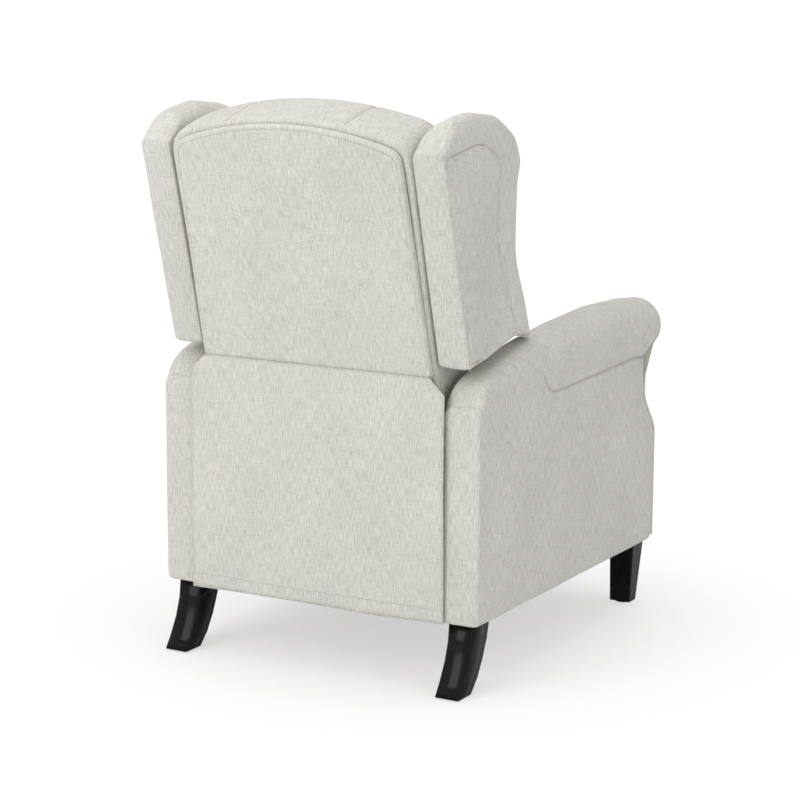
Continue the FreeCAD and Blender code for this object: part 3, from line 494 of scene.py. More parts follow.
class Wiring:
    """Short ways to add and join shader nodes in one tree."""

    def __init__(self, tree: bpy.types.NodeTree) -> None:
        """Take the tree to wire."""
        self.tree = tree

    def add(self, kind: str, inputs: dict | None = None, **settings: object) -> bpy.types.Node:
        """Add a node.

        Args:
            kind: The node's type.
            inputs: A value or a socket for each input, by name or number.
            settings: The node's own options.

        Returns:
            The node.
        """
        node = self.tree.nodes.new(kind)
        for name, value in settings.items():
            setattr(node, name, value)
        self.feed(node, inputs or {})
        return node

    def feed(self, node: bpy.types.Node, inputs: dict) -> None:
        """Give inputs of a node a value or another node's socket each."""
        for key, value in inputs.items():
            if isinstance(value, bpy.types.NodeSocket):
                self.tree.links.new(value, node.inputs[key])
            else:
                node.inputs[key].default_value = value

    def place(self) -> bpy.types.NodeSocket:
        """The place on the piece, in metres."""
        return self.add("ShaderNodeTexCoord").outputs["Object"]

    def sum(self, operation: str, a: object, b: object = 0.0) -> bpy.types.NodeSocket:
        """Work out one value from two."""
        return self.add("ShaderNodeMath", {0: a, 1: b}, operation=operation).outputs[0]

    def stretch(self, vector: bpy.types.NodeSocket, factors: Sequence[float]) -> object:
        """Scale a place along each axis."""
        return self.add("ShaderNodeVectorMath", {0: vector, 1: factors},
                        operation="MULTIPLY").outputs[0]

    def cloud(self, vector: bpy.types.NodeSocket, detail: float = 2.0) -> object:
        """Noise of size 1 at a place."""
        return self.add("ShaderNodeTexNoise", {"Vector": vector, "Scale": 1.0,
                                               "Detail": detail}).outputs["Fac"]

    def spread(self, value: object, low: float, high: float, to_low: float = 0.0,
               to_high: float = 1.0) -> bpy.types.NodeSocket:
        """Map a value from one span to another, and stop at its ends."""
        return self.add("ShaderNodeMapRange", {0: value, 1: low, 2: high, 3: to_low,
                                               4: to_high}).outputs[0]

    def mix(self, factor: object, a: object, b: object, way: str = "MIX") -> object:
        """Mix two colours."""
        return self.add("ShaderNodeMix", {0: factor, 6: a, 7: b}, data_type="RGBA",
                        blend_type=way).outputs[2]

    def bump(self, height: object, strength: float, distance: float) -> bpy.types.NodeSocket:
        """A normal that a height of so many metres raises."""
        return self.add("ShaderNodeBump", {"Strength": strength, "Distance": distance,
                                           "Height": height}).outputs["Normal"]


def group(name: str, inputs: Sequence[tuple[str, str]],
          outputs: Sequence[tuple[str, str]]) -> tuple[Wiring, dict, bpy.types.Node]:
    """Start a shader node group.

    Args:
        name: The group's name.
        inputs: The name and the socket type of each input.
        outputs: The same for each output.

    Returns:
        Its wiring, its inputs by name and its output node.
    """
    tree = bpy.data.node_groups.new(name, "ShaderNodeTree")
    for title, kind in inputs:
        tree.interface.new_socket(name=title, in_out="INPUT", socket_type=kind)
    for title, kind in outputs:
        tree.interface.new_socket(name=title, in_out="OUTPUT", socket_type=kind)
    wiring = Wiring(tree)
    source = wiring.add("NodeGroupInput")
    sink = wiring.add("NodeGroupOutput")
    return wiring, {title: source.outputs[title] for title, _ in inputs}, sink


FLOAT, VECTOR, RGB = "NodeSocketFloat", "NodeSocketVector", "NodeSocketColor"
WEAVE, GRAIN, FILM = "Woven cloth", "Wood grain", "Sprayed film"


def weave_group() -> bpy.types.NodeTree:
    """Plain weave of slubby yarn: crossing threads, streaks along both and soft mottling."""
    w, given, out = group(
        WEAVE,
        [("Cloth", VECTOR), ("Colour", RGB), ("Fleck", RGB), ("Heather", FLOAT),
         ("Threads", FLOAT)],
        [("Colour", RGB), ("Height", FLOAT), ("Roughness", FLOAT)])
    place = given["Cloth"]
    warp = w.cloud(w.stretch(place, (640.0, 52.0, 52.0)), 3.0)
    weft = w.cloud(w.stretch(place, (48.0, 520.0, 520.0)), 3.0)
    grains = w.cloud(w.stretch(place, (900.0, 620.0, 900.0)), 1.0)
    broad = w.cloud(w.stretch(place, (9.0, 5.0, 5.0)), 2.0)
    streaks = w.sum("ADD", w.spread(warp, 0.40, 0.62, 0.0, 0.50),
                    w.spread(weft, 0.42, 0.64, 0.0, 0.20))
    streaks = w.sum("ADD", streaks, w.spread(grains, 0.44, 0.68, 0.0, 0.40))
    amount = w.sum("MULTIPLY", streaks, given["Heather"])
    cloth = w.mix(amount, given["Colour"], given["Fleck"])
    shade = w.spread(broad, 0.3, 0.7, 0.965, 1.035)
    level = w.add("ShaderNodeCombineXYZ", {0: shade, 1: shade, 2: shade}).outputs[0]
    out_colour = w.mix(1.0, cloth, level, "MULTIPLY")
    parts = w.add("ShaderNodeSeparateXYZ", {0: place})
    turns = w.sum("MULTIPLY", given["Threads"], math.tau)
    wave_u = w.sum("SINE", w.sum("MULTIPLY", parts.outputs[0], turns))
    wave_v = w.sum("SINE", w.sum("MULTIPLY", w.sum("ADD", parts.outputs[1], parts.outputs[2]),
                                 turns))
    knots = w.sum("MULTIPLY", w.sum("MULTIPLY", wave_u, wave_v), 0.35)
    height = w.sum("ADD", knots, w.sum("MULTIPLY", warp, 1.1))
    w.feed(out, {"Colour": out_colour, "Height": w.sum("ADD", height, weft),
                 "Roughness": w.spread(warp, 0.3, 0.7, 0.82, 0.96)})
    return w.tree


def grain_group() -> bpy.types.NodeTree:
    """Wood grain that runs along the vector's Z."""
    w, given, out = group(GRAIN, [("Place", VECTOR), ("Pale", RGB), ("Dark", RGB)],
                   [("Colour", RGB), ("Height", FLOAT)])
    bent = w.cloud(w.stretch(given["Place"], (22.0, 22.0, 3.0)), 2.0)
    rings = w.sum("FRACT", w.sum("MULTIPLY", bent, 9.0))
    fibre = w.cloud(w.stretch(given["Place"], (900.0, 900.0, 30.0)), 3.0)
    tone = w.sum("ADD", w.spread(rings, 0.0, 1.0, 0.0, 0.6), w.spread(fibre, 0.3, 0.7, 0.0, 0.4))
    w.feed(out, {"Colour": w.mix(tone, given["Pale"], given["Dark"]), "Height": fibre})
    return w.tree


def film_group() -> bpy.types.NodeTree:
    """A sprayed or handled film: fine orange peel, and a gloss that varies a little."""
    w, given, out = group(FILM, [("Place", VECTOR), ("Gloss", FLOAT)],
                          [("Roughness", FLOAT), ("Height", FLOAT)])
    peel = w.cloud(w.stretch(given["Place"], (420.0, 420.0, 420.0)), 1.0)
    rubs = w.cloud(w.stretch(given["Place"], (26.0, 26.0, 18.0)), 4.0)
    gloss = w.sum("ADD", given["Gloss"], w.spread(rubs, 0.35, 0.7, -0.05, 0.09))
    w.feed(out, {"Roughness": gloss, "Height": peel})
    return w.tree


@dataclass(frozen=True)
class Finish:
    """What every finish has: its name and its plain colour."""

    name: str
    colour: Colour

    def _start(self) -> tuple[bpy.types.Material, Wiring, bpy.types.Node]:
        """An empty material, its wiring and its shader."""
        material = bpy.data.materials.new(self.name)
        material.use_nodes = True
        material.diffuse_color = self.colour
        wiring = Wiring(material.node_tree)
        return material, wiring, material.node_tree.nodes["Principled BSDF"]

    def material(self) -> bpy.types.Material:
        """Build the material."""
        raise NotImplementedError


@dataclass(frozen=True)
class ClothFinish(Finish):
    """Woven cloth.

    Attributes:
        fleck: The colour of the darker yarns.
        heather: How much they show.
        threads: Threads in a metre of cloth.
        relief: The height of the weave.
        mapped: True where the piece has a cloth map.
        shine: How strongly the yarn reflects.
        sheen: How much its loose fibres catch the light.
    """

    fleck: Colour = (0.3, 0.3, 0.3, 1.0)
    heather: float = 0.4
    threads: float = 800.0
    relief: float = 0.0004
    mapped: bool = True
    shine: float = 0.18
    sheen: float = 0.08

    def material(self) -> bpy.types.Material:
        """Build the material."""
        material, w, shader = self._start()
        if self.mapped:
            place = w.add("ShaderNodeUVMap", uv_map="Cloth").outputs["UV"]
        else:
            place = w.place()
        cloth = w.add("ShaderNodeGroup", {"Cloth": place, "Colour": self.colour,
                                          "Fleck": self.fleck, "Heather": self.heather,
                                          "Threads": self.threads},
                      node_tree=bpy.data.node_groups[WEAVE]).outputs
        w.feed(shader, {"Base Color": cloth["Colour"], "Roughness": cloth["Roughness"],
                        "Specular IOR Level": self.shine, "Sheen Weight": self.sheen,
                        "Sheen Roughness": 0.5,
                        "Normal": w.bump(cloth["Height"], 0.35, self.relief)})
        return material


@dataclass(frozen=True)
class WoodFinish(Finish):
    """Bare wood with its grain along one axis.

    Attributes:
        dark: The colour of the late wood.
        turn: How the grain is turned away from Z, in radians.
        matt: The roughness of the bare wood.
    """

    dark: Colour = (0.3, 0.2, 0.1, 1.0)
    turn: tuple[float, float, float] = (0.0, 0.0, 0.0)
    matt: float = 0.62

    def material(self) -> bpy.types.Material:
        """Build the material."""
        material, w, shader = self._start()
        turned = w.add("ShaderNodeMapping", {"Vector": w.place(), "Rotation": self.turn})
        grain = w.add("ShaderNodeGroup", {"Place": turned.outputs[0], "Pale": self.colour,
                                          "Dark": self.dark},
                      node_tree=bpy.data.node_groups[GRAIN]).outputs
        w.feed(shader, {"Base Color": grain["Colour"], "Roughness": self.matt,
                        "Normal": w.bump(grain["Height"], 0.2, 0.0003)})
        return material


@dataclass(frozen=True)
class FilmFinish(Finish):
    """Lacquer, paint, plating or moulded plastic.

    Attributes:
        gloss: The roughness of the film.
        metal: 1 for bare plating.
        coat: The weight of a clear coat.
        shine: How strongly the film itself reflects.
        peel: The height of its orange peel.
    """

    gloss: float = 0.4
    metal: float = 0.0
    coat: float = 0.0
    shine: float = 0.5
    peel: float = 0.0001

    def material(self) -> bpy.types.Material:
        """Build the material."""
        material, w, shader = self._start()
        place = w.place()
        film = w.add("ShaderNodeGroup", {"Place": place, "Gloss": self.gloss},
                     node_tree=bpy.data.node_groups[FILM]).outputs
        worn = w.cloud(w.stretch(place, (70.0, 70.0, 9.0)), 4.0)
        lighter = tuple(min(1.0, c * 1.5 + 0.004) for c in self.colour[:3]) + (1.0,)
        tone = w.mix(w.spread(worn, 0.45, 0.8, 0.0, 0.5), self.colour, lighter)
        w.feed(shader, {"Base Color": tone, "Roughness": film["Roughness"],
                        "Metallic": self.metal, "Specular IOR Level": self.shine,
                        "Coat Weight": self.coat, "Coat Roughness": 0.12,
                        "Normal": w.bump(film["Height"], 0.15, self.peel)})
        return material


LINEN = ClothFinish("Linen-look upholstery", (0.74, 0.718, 0.665, 1.0),
                    fleck=(0.31, 0.31, 0.295, 1.0), heather=0.72)
THREAD = ClothFinish("Sewing thread", (0.50, 0.485, 0.44, 1.0),
                     fleck=(0.34, 0.33, 0.31, 1.0), heather=0.5, mapped=False)
FINISHES: dict[Slot, Finish] = {
    Slot.UPHOLSTERY: LINEN,
    Slot.PIPING: replace(LINEN, name="Bias-cut piping cloth", mapped=False,
                         colour=(0.71, 0.69, 0.638, 1.0)),
    Slot.DECK_CLOTH: ClothFinish("Deck cloth", (0.20, 0.19, 0.18, 1.0),
                                 fleck=(0.09, 0.09, 0.09, 1.0), heather=0.6, threads=500.0),
    Slot.FRAME_WOOD: WoodFinish("Sawn hardwood", (0.66, 0.49, 0.31, 1.0),
                                dark=(0.46, 0.31, 0.17, 1.0), turn=(0.0, math.pi / 2, 0.0)),
    Slot.PLYWOOD: WoodFinish("Plywood", (0.70, 0.56, 0.38, 1.0), dark=(0.52, 0.38, 0.23, 1.0)),
    Slot.BLACK_LACQUER: FilmFinish("Black satin lacquer", (0.006, 0.006, 0.0065, 1.0),
                                   gloss=0.26, coat=0.08, shine=0.12),
    Slot.GLIDE_PLASTIC: FilmFinish("Glide plastic", (0.09, 0.09, 0.09, 1.0), gloss=0.55),
    Slot.MECHANISM_STEEL: FilmFinish("Black painted steel", (0.030, 0.030, 0.033, 1.0),
                                     gloss=0.38, peel=0.0002),
    Slot.FIXINGS: FilmFinish("Zinc plating", (0.62, 0.62, 0.60, 1.0), gloss=0.32, metal=1.0),
    Slot.WEBBING: ClothFinish("Elastic webbing", (0.035, 0.035, 0.037, 1.0),
                              fleck=(0.10, 0.10, 0.10, 1.0), heather=0.7, threads=420.0,
                              relief=0.0008),
}


class Wardrobe:
    """Builds each finish once and dresses pieces in it."""

    def __init__(self) -> None:
        """Build the shared groups and every finish."""
        weave_group(), grain_group(), film_group()
        self.materials = {slot: finish.material() for slot, finish in FINISHES.items()}
        self.thread = THREAD.material()

    def dress(self, obj: bpy.types.Object, slot: Slot, body: str, *nodes: str,
              material: bpy.types.Material | None = None) -> bpy.types.Object:
        """Finish a new piece, let it ride and hide the CAD nodes that it replaces.

        Args:
            obj: The piece.
            slot: Its finish.
            body: The CAD body that it moves with.
            nodes: The CAD nodes that it replaces.
            material: What it wears where that isn't its slot's own finish.

        Returns:
            The piece.
        """
        obj.data.materials.clear()
        obj.data.materials.append(material or self.materials[slot])
        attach(obj, body)
        if nodes:
            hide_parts(*nodes)
        LOG.info("%s: %d faces, rides on %s", obj.name, len(obj.data.polygons), body)
        return obj

    def sew(self, stitching: Stitching, body: str) -> None:
        """Finish a run of stitches in thread."""
        self.dress(stitching.done(), Slot.PIPING, body, material=self.thread)

    def dress_frame(self) -> None:
        """Give every CAD node that still shows the finish of its slot."""
        slots = {part["node"]: part["material_slot"] for part in frame["record"]["subparts"]}
        for name, obj in frame["nodes"].items():
            material = self.materials[Slot(slots[name])]
            for holder in obj.material_slots:
                holder.material = material
            if not obj.material_slots:
                obj.data.materials.append(material)


# The legs


@dataclass(frozen=True)
class Leg:
    """One lacquered leg, polished so that its bends show no flats."""

    side: Side
    end: str
    sharp: float = 38.0

    def build(self, wardrobe: Wardrobe) -> None:
        """Make and dress the leg from its CAD form."""
        node = f"{self.end}_leg_{self.side.tag}"
        source = frame["nodes"][node]
        form = Form()
        form.bm.from_mesh(source.data)
        form.bm.transform(source.matrix_world)
        leg = form.done(f"{self.end}_leg_polished_{self.side.tag}")
        leg.data.set_sharp_from_angle(angle=math.radians(self.sharp))
        wardrobe.dress(leg, Slot.BLACK_LACQUER, "base", node)


# The arms


@dataclass(frozen=True)
class ArmStation:
    """The section of an arm at one place along it.

    Attributes:
        y: The place.
        top: Height of the roll.
        out: The farthest that the roll stands out.
        roll: Radius of the roll.
        neck: Half width of the chair at the waist under the roll.
        seam: Height of the seam under the roll.
        crease: How deep the seam is drawn in, from 0 to 1.
    """

    y: float
    top: float
    out: float
    roll: float
    neck: float
    seam: float
    crease: float

    def towards(self, other: "ArmStation", share: float) -> "ArmStation":
        """A station between this one and another."""
        values = {name: getattr(self, name) * (1 - share) + getattr(other, name) * share
                  for name in self.__dataclass_fields__}
        return ArmStation(**values)


@dataclass(frozen=True)
class Arm:
    """One rolled arm: its cover, its front facing and the piping between them.

    Attributes:
        side: Which arm it is.
        inner: Half width of the chair between the arms.
        outer: Half width over the arms' straight sides.
        floor: Height of the arm's flat bottom.
        waist: Between which heights the side draws in to the neck.
        inner_roll: Radius of the arm's inner top corner.
        piping: Radius of the piping.
        facing_rounding: How far the facing stands out and draws in, ring by ring.
        rear_rounding: The same for the rear end.
        step: The greatest gap between two sections.
        under: How far the roll turns in under itself, in degrees.
        lead: The longest straight run of cloth from the seam up to the roll.
        chamfer: How much the foot's edges are taken off.
        crease: How deep the seam is drawn in.
        stations: The arm's sections from front to rear.
    """

    side: Side
    inner: float = 0.2555
    outer: float = 0.329
    floor: float = 0.1265
    waist: Pair = (0.345, 0.425)
    inner_roll: float = 0.021
    piping: float = 0.0042
    facing_rounding: tuple[Pair, ...] = ((0.0, 0.0), (0.0085, 0.0), (0.0122, 0.0012),
                                         (0.0146, 0.0042), (0.0156, 0.0090))
    rear_rounding: tuple[Pair, ...] = ((0.0036, 0.0010), (0.0058, 0.0034), (0.0060, 0.0070),
                                       (0.0063, 0.0110), (0.0066, 0.0180))
    step: float = 0.024
    under: float = 38.0
    lead: float = 0.018
    chamfer: float = 0.006
    crease: float = 0.0080
    stations: tuple[ArmStation, ...] = (
        ArmStation(-0.421, 0.612, 0.3360, 0.052, 0.3060, 0.4965, 1.0),
        ArmStation(-0.360, 0.618, 0.3360, 0.052, 0.3105, 0.5030, 1.0),
        ArmStation(-0.200, 0.6225, 0.3360, 0.052, 0.3220, 0.5030, 1.0),
        ArmStation(-0.050, 0.6135, 0.3360, 0.052, 0.3260, 0.5005, 1.0),
        ArmStation(0.015, 0.607, 0.3358, 0.052, 0.3275, 0.4990, 1.0),
        ArmStation(0.040, 0.6045, 0.3348, 0.051, 0.3280, 0.5030, 0.9),
        ArmStation(0.055, 0.603, 0.3335, 0.050, 0.3285, 0.5130, 0.75),
        ArmStation(0.066, 0.602, 0.3318, 0.048, 0.3288, 0.5280, 0.5),
        ArmStation(0.075, 0.601, 0.3302, 0.044, 0.3290, 0.5450, 0.25),
        ArmStation(0.090, 0.599, 0.3293, 0.038, 0.3290, 0.5500, 0.0),
        ArmStation(0.130, 0.592, 0.3290, 0.030, 0.3290, 0.5400, 0.0),
        ArmStation(0.233, 0.571, 0.3290, 0.022, 0.3290, 0.5200, 0.0),
        ArmStation(0.268, 0.561, 0.3290, 0.021, 0.3290, 0.5080, 0.0),
        ArmStation(0.290, 0.549, 0.3290, 0.021, 0.3290, 0.4950, 0.0),
        ArmStation(0.303, 0.535, 0.3290, 0.021, 0.3290, 0.4800, 0.0),
        ArmStation(0.3115, 0.516, 0.3290, 0.021, 0.3290, 0.4600, 0.0),
    )

    def section(self, at: ArmStation, inset: float = 0.0) -> list[Pair]:
        """The arm's outline in XZ at a station, from its inner foot outwards and round.

        Args:
            at: The station.
            inset: How far inside the cover it runs; then it leaves the seam's crease out.

        Returns:
            Always as many points, in the same order.
        """
        cx, cz = at.out - at.roll, at.top - at.roll
        inner, outer, floor = self.inner + inset, self.outer - inset, self.floor + inset
        neck, roll, ri = at.neck - inset, at.roll - inset, self.inner_roll - inset
        crease = 0.0 if inset else at.crease * self.crease
        reach = min(1.0, (neck + 0.004 - cx) / roll)
        join = -min(self.under, math.degrees(math.acos(reach)))
        swing = math.radians(join)
        meet = (cx + roll * math.cos(swing), cz + roll * math.sin(swing))
        lead = min(self.lead, 0.4 * (meet[1] - at.seam))
        pull = (meet[0] + math.sin(swing) * lead, meet[1] - math.cos(swing) * lead)
        low, high = self.waist
        drop, foot = outer - neck, floor + self.chamfer
        points = line((inner + 0.004, floor), (outer - self.chamfer, floor), 5)
        points += line((outer, foot), (outer, low), 10)
        points += [(outer - drop * ease(i / 8), low + (high - low) * i / 8)
                   for i in range(1, 9)]
        points += line((neck, high + 0.008), (neck, at.seam - 0.009), 4)
        points += [(neck, at.seam - 0.0030), (neck - crease, at.seam + 0.0002),
                   (neck + crease / 4, at.seam + 0.0022)]
        points += bend(points[-1], pull, meet, 6)[1:]
        points += arc((cx, cz), roll, join, 90.0, 12)[1:]
        corner = (self.inner + self.inner_roll, at.top - self.inner_roll)
        points += arc(corner, ri, 90.0, 180.0, 7)
        return points + line((inner, corner[1] - 0.012), (inner, foot), 9)

    def along(self) -> list[ArmStation]:
        """The stations, with more between those that lie far apart."""
        made = [self.stations[0]]
        for a, b in zip(self.stations, self.stations[1:]):
            gaps = max(1, round((b.y - a.y) / self.step))
            made += [a.towards(b, i / gaps) for i in range(1, gaps + 1)]
        return made

    def _lift(self, points: Iterable[Pair], y: float) -> list[Vector]:
        """Put an outline of the left arm in its place on this arm."""
        return [Vector((self.side.value * x, y, z)) for x, z in points]

    def _cloth(self, co: Vector, normal: Vector) -> Pair:
        """The cover's warp goes up the side, over the roll and down inside."""
        x = abs(co.x)
        looks_along, looks_down = abs(normal.y) > 0.7, abs(normal.z) > 0.9
        if looks_along:
            return (co.x, co.z)
        if looks_down and co.z < self.floor + 0.01:
            return (co.x, co.y)
        near = min(self.stations, key=lambda s: abs(s.y - co.y))
        cx, cz = near.out - near.roll, near.top - near.roll
        if co.z > cz:
            return (co.y, cz + near.roll * math.atan2(co.z - cz, x - cx))
        return (co.y, co.z if x > cx else 1.5 - co.z)

    def cover(self) -> bpy.types.Object:
        """The cover of the arm's side, roll and rear end."""
        stations = self.along()
        first, last = stations[0], stations[-1]
        rings = [self._lift(self.section(first, inset), first.y) for inset in (0.006, 0.002)]
        rings += [self._lift(self.section(s), s.y + (0.003 if i == 0 else 0.0))
                  for i, s in enumerate(stations)]
        rings += [self._lift(self.section(last, inset), last.y + step)
                  for step, inset in self.rear_rounding]
        form = Form()
        _, rear = form.skin(rings)
        form.cut_grid(rear, X_AXIS, Z_AXIS, 0.02)
        obj = form.done(f"arm_cover_{self.side.tag}", smooth=2)
        lay_cloth(obj, self._cloth)
        ripple(obj, height=0.0009, size=0.11, seed=3.0 + self.side.value)
        return obj

    def facing(self) -> bpy.types.Object:
        """The padded scroll that closes the arm's front."""
        at = self.stations[0]
        rings = [self._lift(self.section(at, 2 * self.piping + inset), at.y - rise)
                 for rise, inset in self.facing_rounding]
        form = Form()
        _, cap = form.skin(rings)
        form.cut_grid(cap, X_AXIS, Z_AXIS, 0.022)
        obj = form.done(f"arm_facing_{self.side.tag}", smooth=1)
        lay_cloth(obj)
        return obj

    def piping_line(self) -> list[Vector]:
        """Where the piping runs, up from the arm's foot and round the roll."""
        at = self.stations[0]
        points = self.section(at, self.piping)
        kept = [p for p in points if p[1] > self.floor + 0.0045]
        return self._lift(kept, at.y - self.piping)

    def build(self, wardrobe: Wardrobe) -> None:
        """Make and dress the arm's soft pieces."""
        tag = self.side.tag
        cover = wardrobe.dress(self.cover(), Slot.UPHOLSTERY, "base", f"arm_pad_{tag}")
        facing = wardrobe.dress(self.facing(), Slot.UPHOLSTERY, "base", f"arm_front_panel_{tag}")
        piping = tube(f"arm_piping_{tag}", self.piping_line(), self.piping, False)
        wardrobe.dress(piping, Slot.PIPING, "base", f"arm_welt_{tag}")


# The back


@dataclass(frozen=True)
class Lean:
    """The back's own upright frame, and how it leans in the chair."""

    foot: Pair = (0.2477, 0.300)
    degrees: float = 14.5

    def place(self, x: float, depth: float, up: float) -> Vector:
        """Bring a point of the back into the chair.

        Args:
            x: Across the chair.
            depth: Forwards from the outer plane of the back.
            up: Along the back from its foot.

        Returns:
            The point in the chair.
        """
        sine, cosine = math.sin(math.radians(self.degrees)), math.cos(math.radians(self.degrees))
        return Vector((x, self.foot[0] - depth * cosine + up * sine,
                       self.foot[1] + depth * sine + up * cosine))

    def forwards(self) -> Vector:
        """The direction out of the back's front."""
        return self.place(0.0, 1.0, 0.0) - self.place(0.0, 0.0, 0.0)

    def upwards(self) -> Vector:
        """The direction along the back."""
        return self.place(0.0, 0.0, 1.0) - self.place(0.0, 0.0, 0.0)


LEAN = Lean()


@dataclass(frozen=True)
class Arch:
    """Outline of the back: straight sides under an arched crest.

    Attributes:
        low: Half width at the bottom.
        high: Half width at the shoulders.
        bottom: Where it starts, up the back.
        shoulder: Where the arch starts.
        crest: Where the arch ends.
        corner: Radius at the shoulders.
        marks: Places across the crest that need a point of their own.
    """

    low: float
    high: float
    bottom: float
    shoulder: float
    crest: float
    corner: float = 0.014
    marks: tuple[float, ...] = ()

    def points(self, inset: float, top_inset: float | None = None) -> list[Pair]:
        """Draw it smaller by an inset, always with as many points."""
        drop = inset if top_inset is None else top_inset
        low, high = self.low - inset, self.high - inset
        foot, shoulder, crest = self.bottom + inset, self.shoulder - drop, self.crest - drop
        corner = max(0.004, self.corner - max(0.0, inset) / 3)
        rise = crest - shoulder
        radius = (rise ** 2 + high ** 2) / (2 * rise)

        def on_arch(x: float) -> float:
            return crest - radius + math.sqrt(radius ** 2 - x ** 2)

        edge = high - corner
        right = bend((high, shoulder - corner), (high, on_arch(high) - 0.001),
                     (edge, on_arch(edge)), 7)
        spots = sorted({round(edge * i / 20, 6) for i in range(-19, 20)}
                       | {m * edge / (self.high - self.corner) for m in self.marks})
        top = [(x, on_arch(x)) for x in reversed(spots)]
        left = [(-x, z) for x, z in reversed(right)]
        bottom = line((-low, foot), (low, foot), 22)
        up = line((low, foot), right[0], 30)[1:-1]
        down = line(left[-1], (-low, foot), 30)[1:-1]
        return bottom + up + right + top + left + down


PLEAT = 0.118  # how far from the middle a pleat crosses the crest
PLEAT_POINTS = (-0.006, -0.002, 0.0, 0.002, 0.006)


@dataclass(frozen=True)
class BackCushion:
    """The tufted front of the back with its boxing and crest.

    Attributes:
        outline: Its shape from the front.
        pleat_depth: How deep the two pleats are drawn in.
        pleat_width: How far their sides slope.
        depth: How thick the cushion is.
        front_inset: How far the field lies inside the outline.
        tuft_rows: The height of each row of buttons, and where they are across it.
        field_edge: Where the side folds end.
        field_span: Between which heights the field can sink.
        field_fade: Over how much of its edge the field comes back to its plain front.
        tuft_depth: How deep a button is pulled in.
        tuft_width: How wide it pulls the cover.
        fold_depth: The same for a fold between buttons.
        fold_width: Its width.
        fold_reach: How far apart the buttons of two rows are that a fold joins.
        fold_ends: Heights that the folds of the lowest and highest row run to.
        crest_folds: Where the highest row's folds end, across the back.
        crown: How far the middle of the field swells.
        crown_half: Half the width of that swell.
        cell: The size of the field's mesh.
        button: Radius of a button.
        button_profile: A button's profile, as a share of its radius and a height.
        levels: Depth, inset and inset at the crest of each ring, from rear to front.
    """

    outline: Arch = Arch(0.2395, 0.2425, 0.020, 0.690, 0.729, 0.034,
                         tuple(s * (PLEAT + d) for s in (-1, 1) for d in PLEAT_POINTS))
    pleat_depth: float = 0.0050
    pleat_width: float = 0.0032
    depth: float = 0.146
    front_inset: float = 0.032
    tuft_rows: tuple[tuple[float, tuple[float, ...]], ...] = (
        (0.250, (-0.12, 0.0, 0.12)), (0.360, (-0.18, -0.06, 0.06, 0.18)),
        (0.470, (-0.12, 0.0, 0.12)), (0.580, (-0.18, -0.06, 0.06, 0.18)))
    field_edge: float = 0.226
    field_span: Pair = (0.052, 0.698)
    field_fade: float = 0.022
    tuft_depth: float = 0.018
    tuft_width: float = 0.022
    fold_depth: float = 0.0075
    fold_width: float = 0.006
    fold_reach: float = 0.07
    fold_ends: Pair = (0.04, 0.75)
    crest_folds: tuple[float, ...] = (-0.190, -PLEAT, PLEAT, 0.190)
    crown: float = 0.005
    crown_half: float = 0.215
    cell: float = 0.0085
    button: float = 0.011
    button_profile: tuple[Pair, ...] = ((0.0, 0.0048), (0.45, 0.0043), (0.8, 0.0028),
                                        (1.0, 0.0002), (0.92, -0.0022), (0.5, -0.0035))
    levels: tuple[tuple[float, float, float], ...] = (
        (0.0090, 0.0300, 0.0330), (0.0045, 0.0160, 0.0185), (0.0020, 0.0095, 0.0120),
        (0.0035, 0.0045, 0.0075), (0.0085, 0.0010, 0.0040), (0.0180, 0.0002, 0.0018),
        (0.0400, 0.0000, 0.0002), (0.0750, 0.0000, 0.0000), (0.1000, 0.0003, 0.0012),
        (0.1180, 0.0022, 0.0045), (0.1310, 0.0080, 0.0110), (0.1400, 0.0180, 0.0205),
        (0.1455, 0.0320, 0.0330))

    def tufts(self) -> list[Pair]:
        """Where the buttons are, across the back and up it."""
        return [(x, up) for up, row in self.tuft_rows for x in row]

    def folds(self) -> list[tuple[Pair, Pair]]:
        """The sewn folds: slanting between rows, and straight out to the edges."""
        made = []
        for (low, lower), (high, upper) in zip(self.tuft_rows, self.tuft_rows[1:]):
            made += [((a, low), (b, high)) for a in lower for b in upper
                     if abs(a - b) < self.fold_reach]
        for up, row in self.tuft_rows:
            if len(row) > 3:
                made += [((x, up), (math.copysign(self.field_edge, x), up))
                         for x in (row[0], row[-1])]
        (first, lowest), (last, highest) = self.tuft_rows[0], self.tuft_rows[-1]
        made += [((x, last), (end, self.fold_ends[1]))
                 for x, end in zip(highest, self.crest_folds)]
        return made + [((x, first), (x, self.fold_ends[0])) for x in lowest]

    def sink(self, x: float, s: float) -> float:
        """How far the cover lies behind its plain front at a point."""
        nearest = min(math.dist((x, s), t) for t in self.tufts())
        press = self.tuft_depth * math.exp(-((nearest / self.tuft_width) ** 2))
        gap = min(self._off(x, s, a, b) for a, b in self.folds())
        fold = self.fold_depth * math.exp(-gap / self.fold_width)
        high = self.crown * (1 - (x / self.crown_half) ** 2)
        return max(press, fold) + 0.3 * min(press, fold) - high

    @staticmethod
    def _off(x: float, s: float, a: Pair, b: Pair) -> float:
        """Distance from a point to a fold."""
        dx, ds = b[0] - a[0], b[1] - a[1]
        t = min(1.0, max(0.0, ((x - a[0]) * dx + (s - a[1]) * ds) / (dx * dx + ds * ds)))
        return math.dist((x, s), (a[0] + dx * t, a[1] + ds * t))

    def _ring(self, level: tuple[float, float, float]) -> list[Vector]:
        """One ring of the boxing, with the two pleats that cross the crest."""
        depth, inset, top_inset = level
        made = []
        for x, s in self.outline.points(inset, top_inset):
            if s > self.outline.shoulder:
                gap = abs(abs(x) - PLEAT)
                s -= (self.pleat_depth * ease(depth / 0.02)
                      * math.exp(-((gap / self.pleat_width) ** 2)))
            made.append(LEAN.place(x, depth, s))
        return made

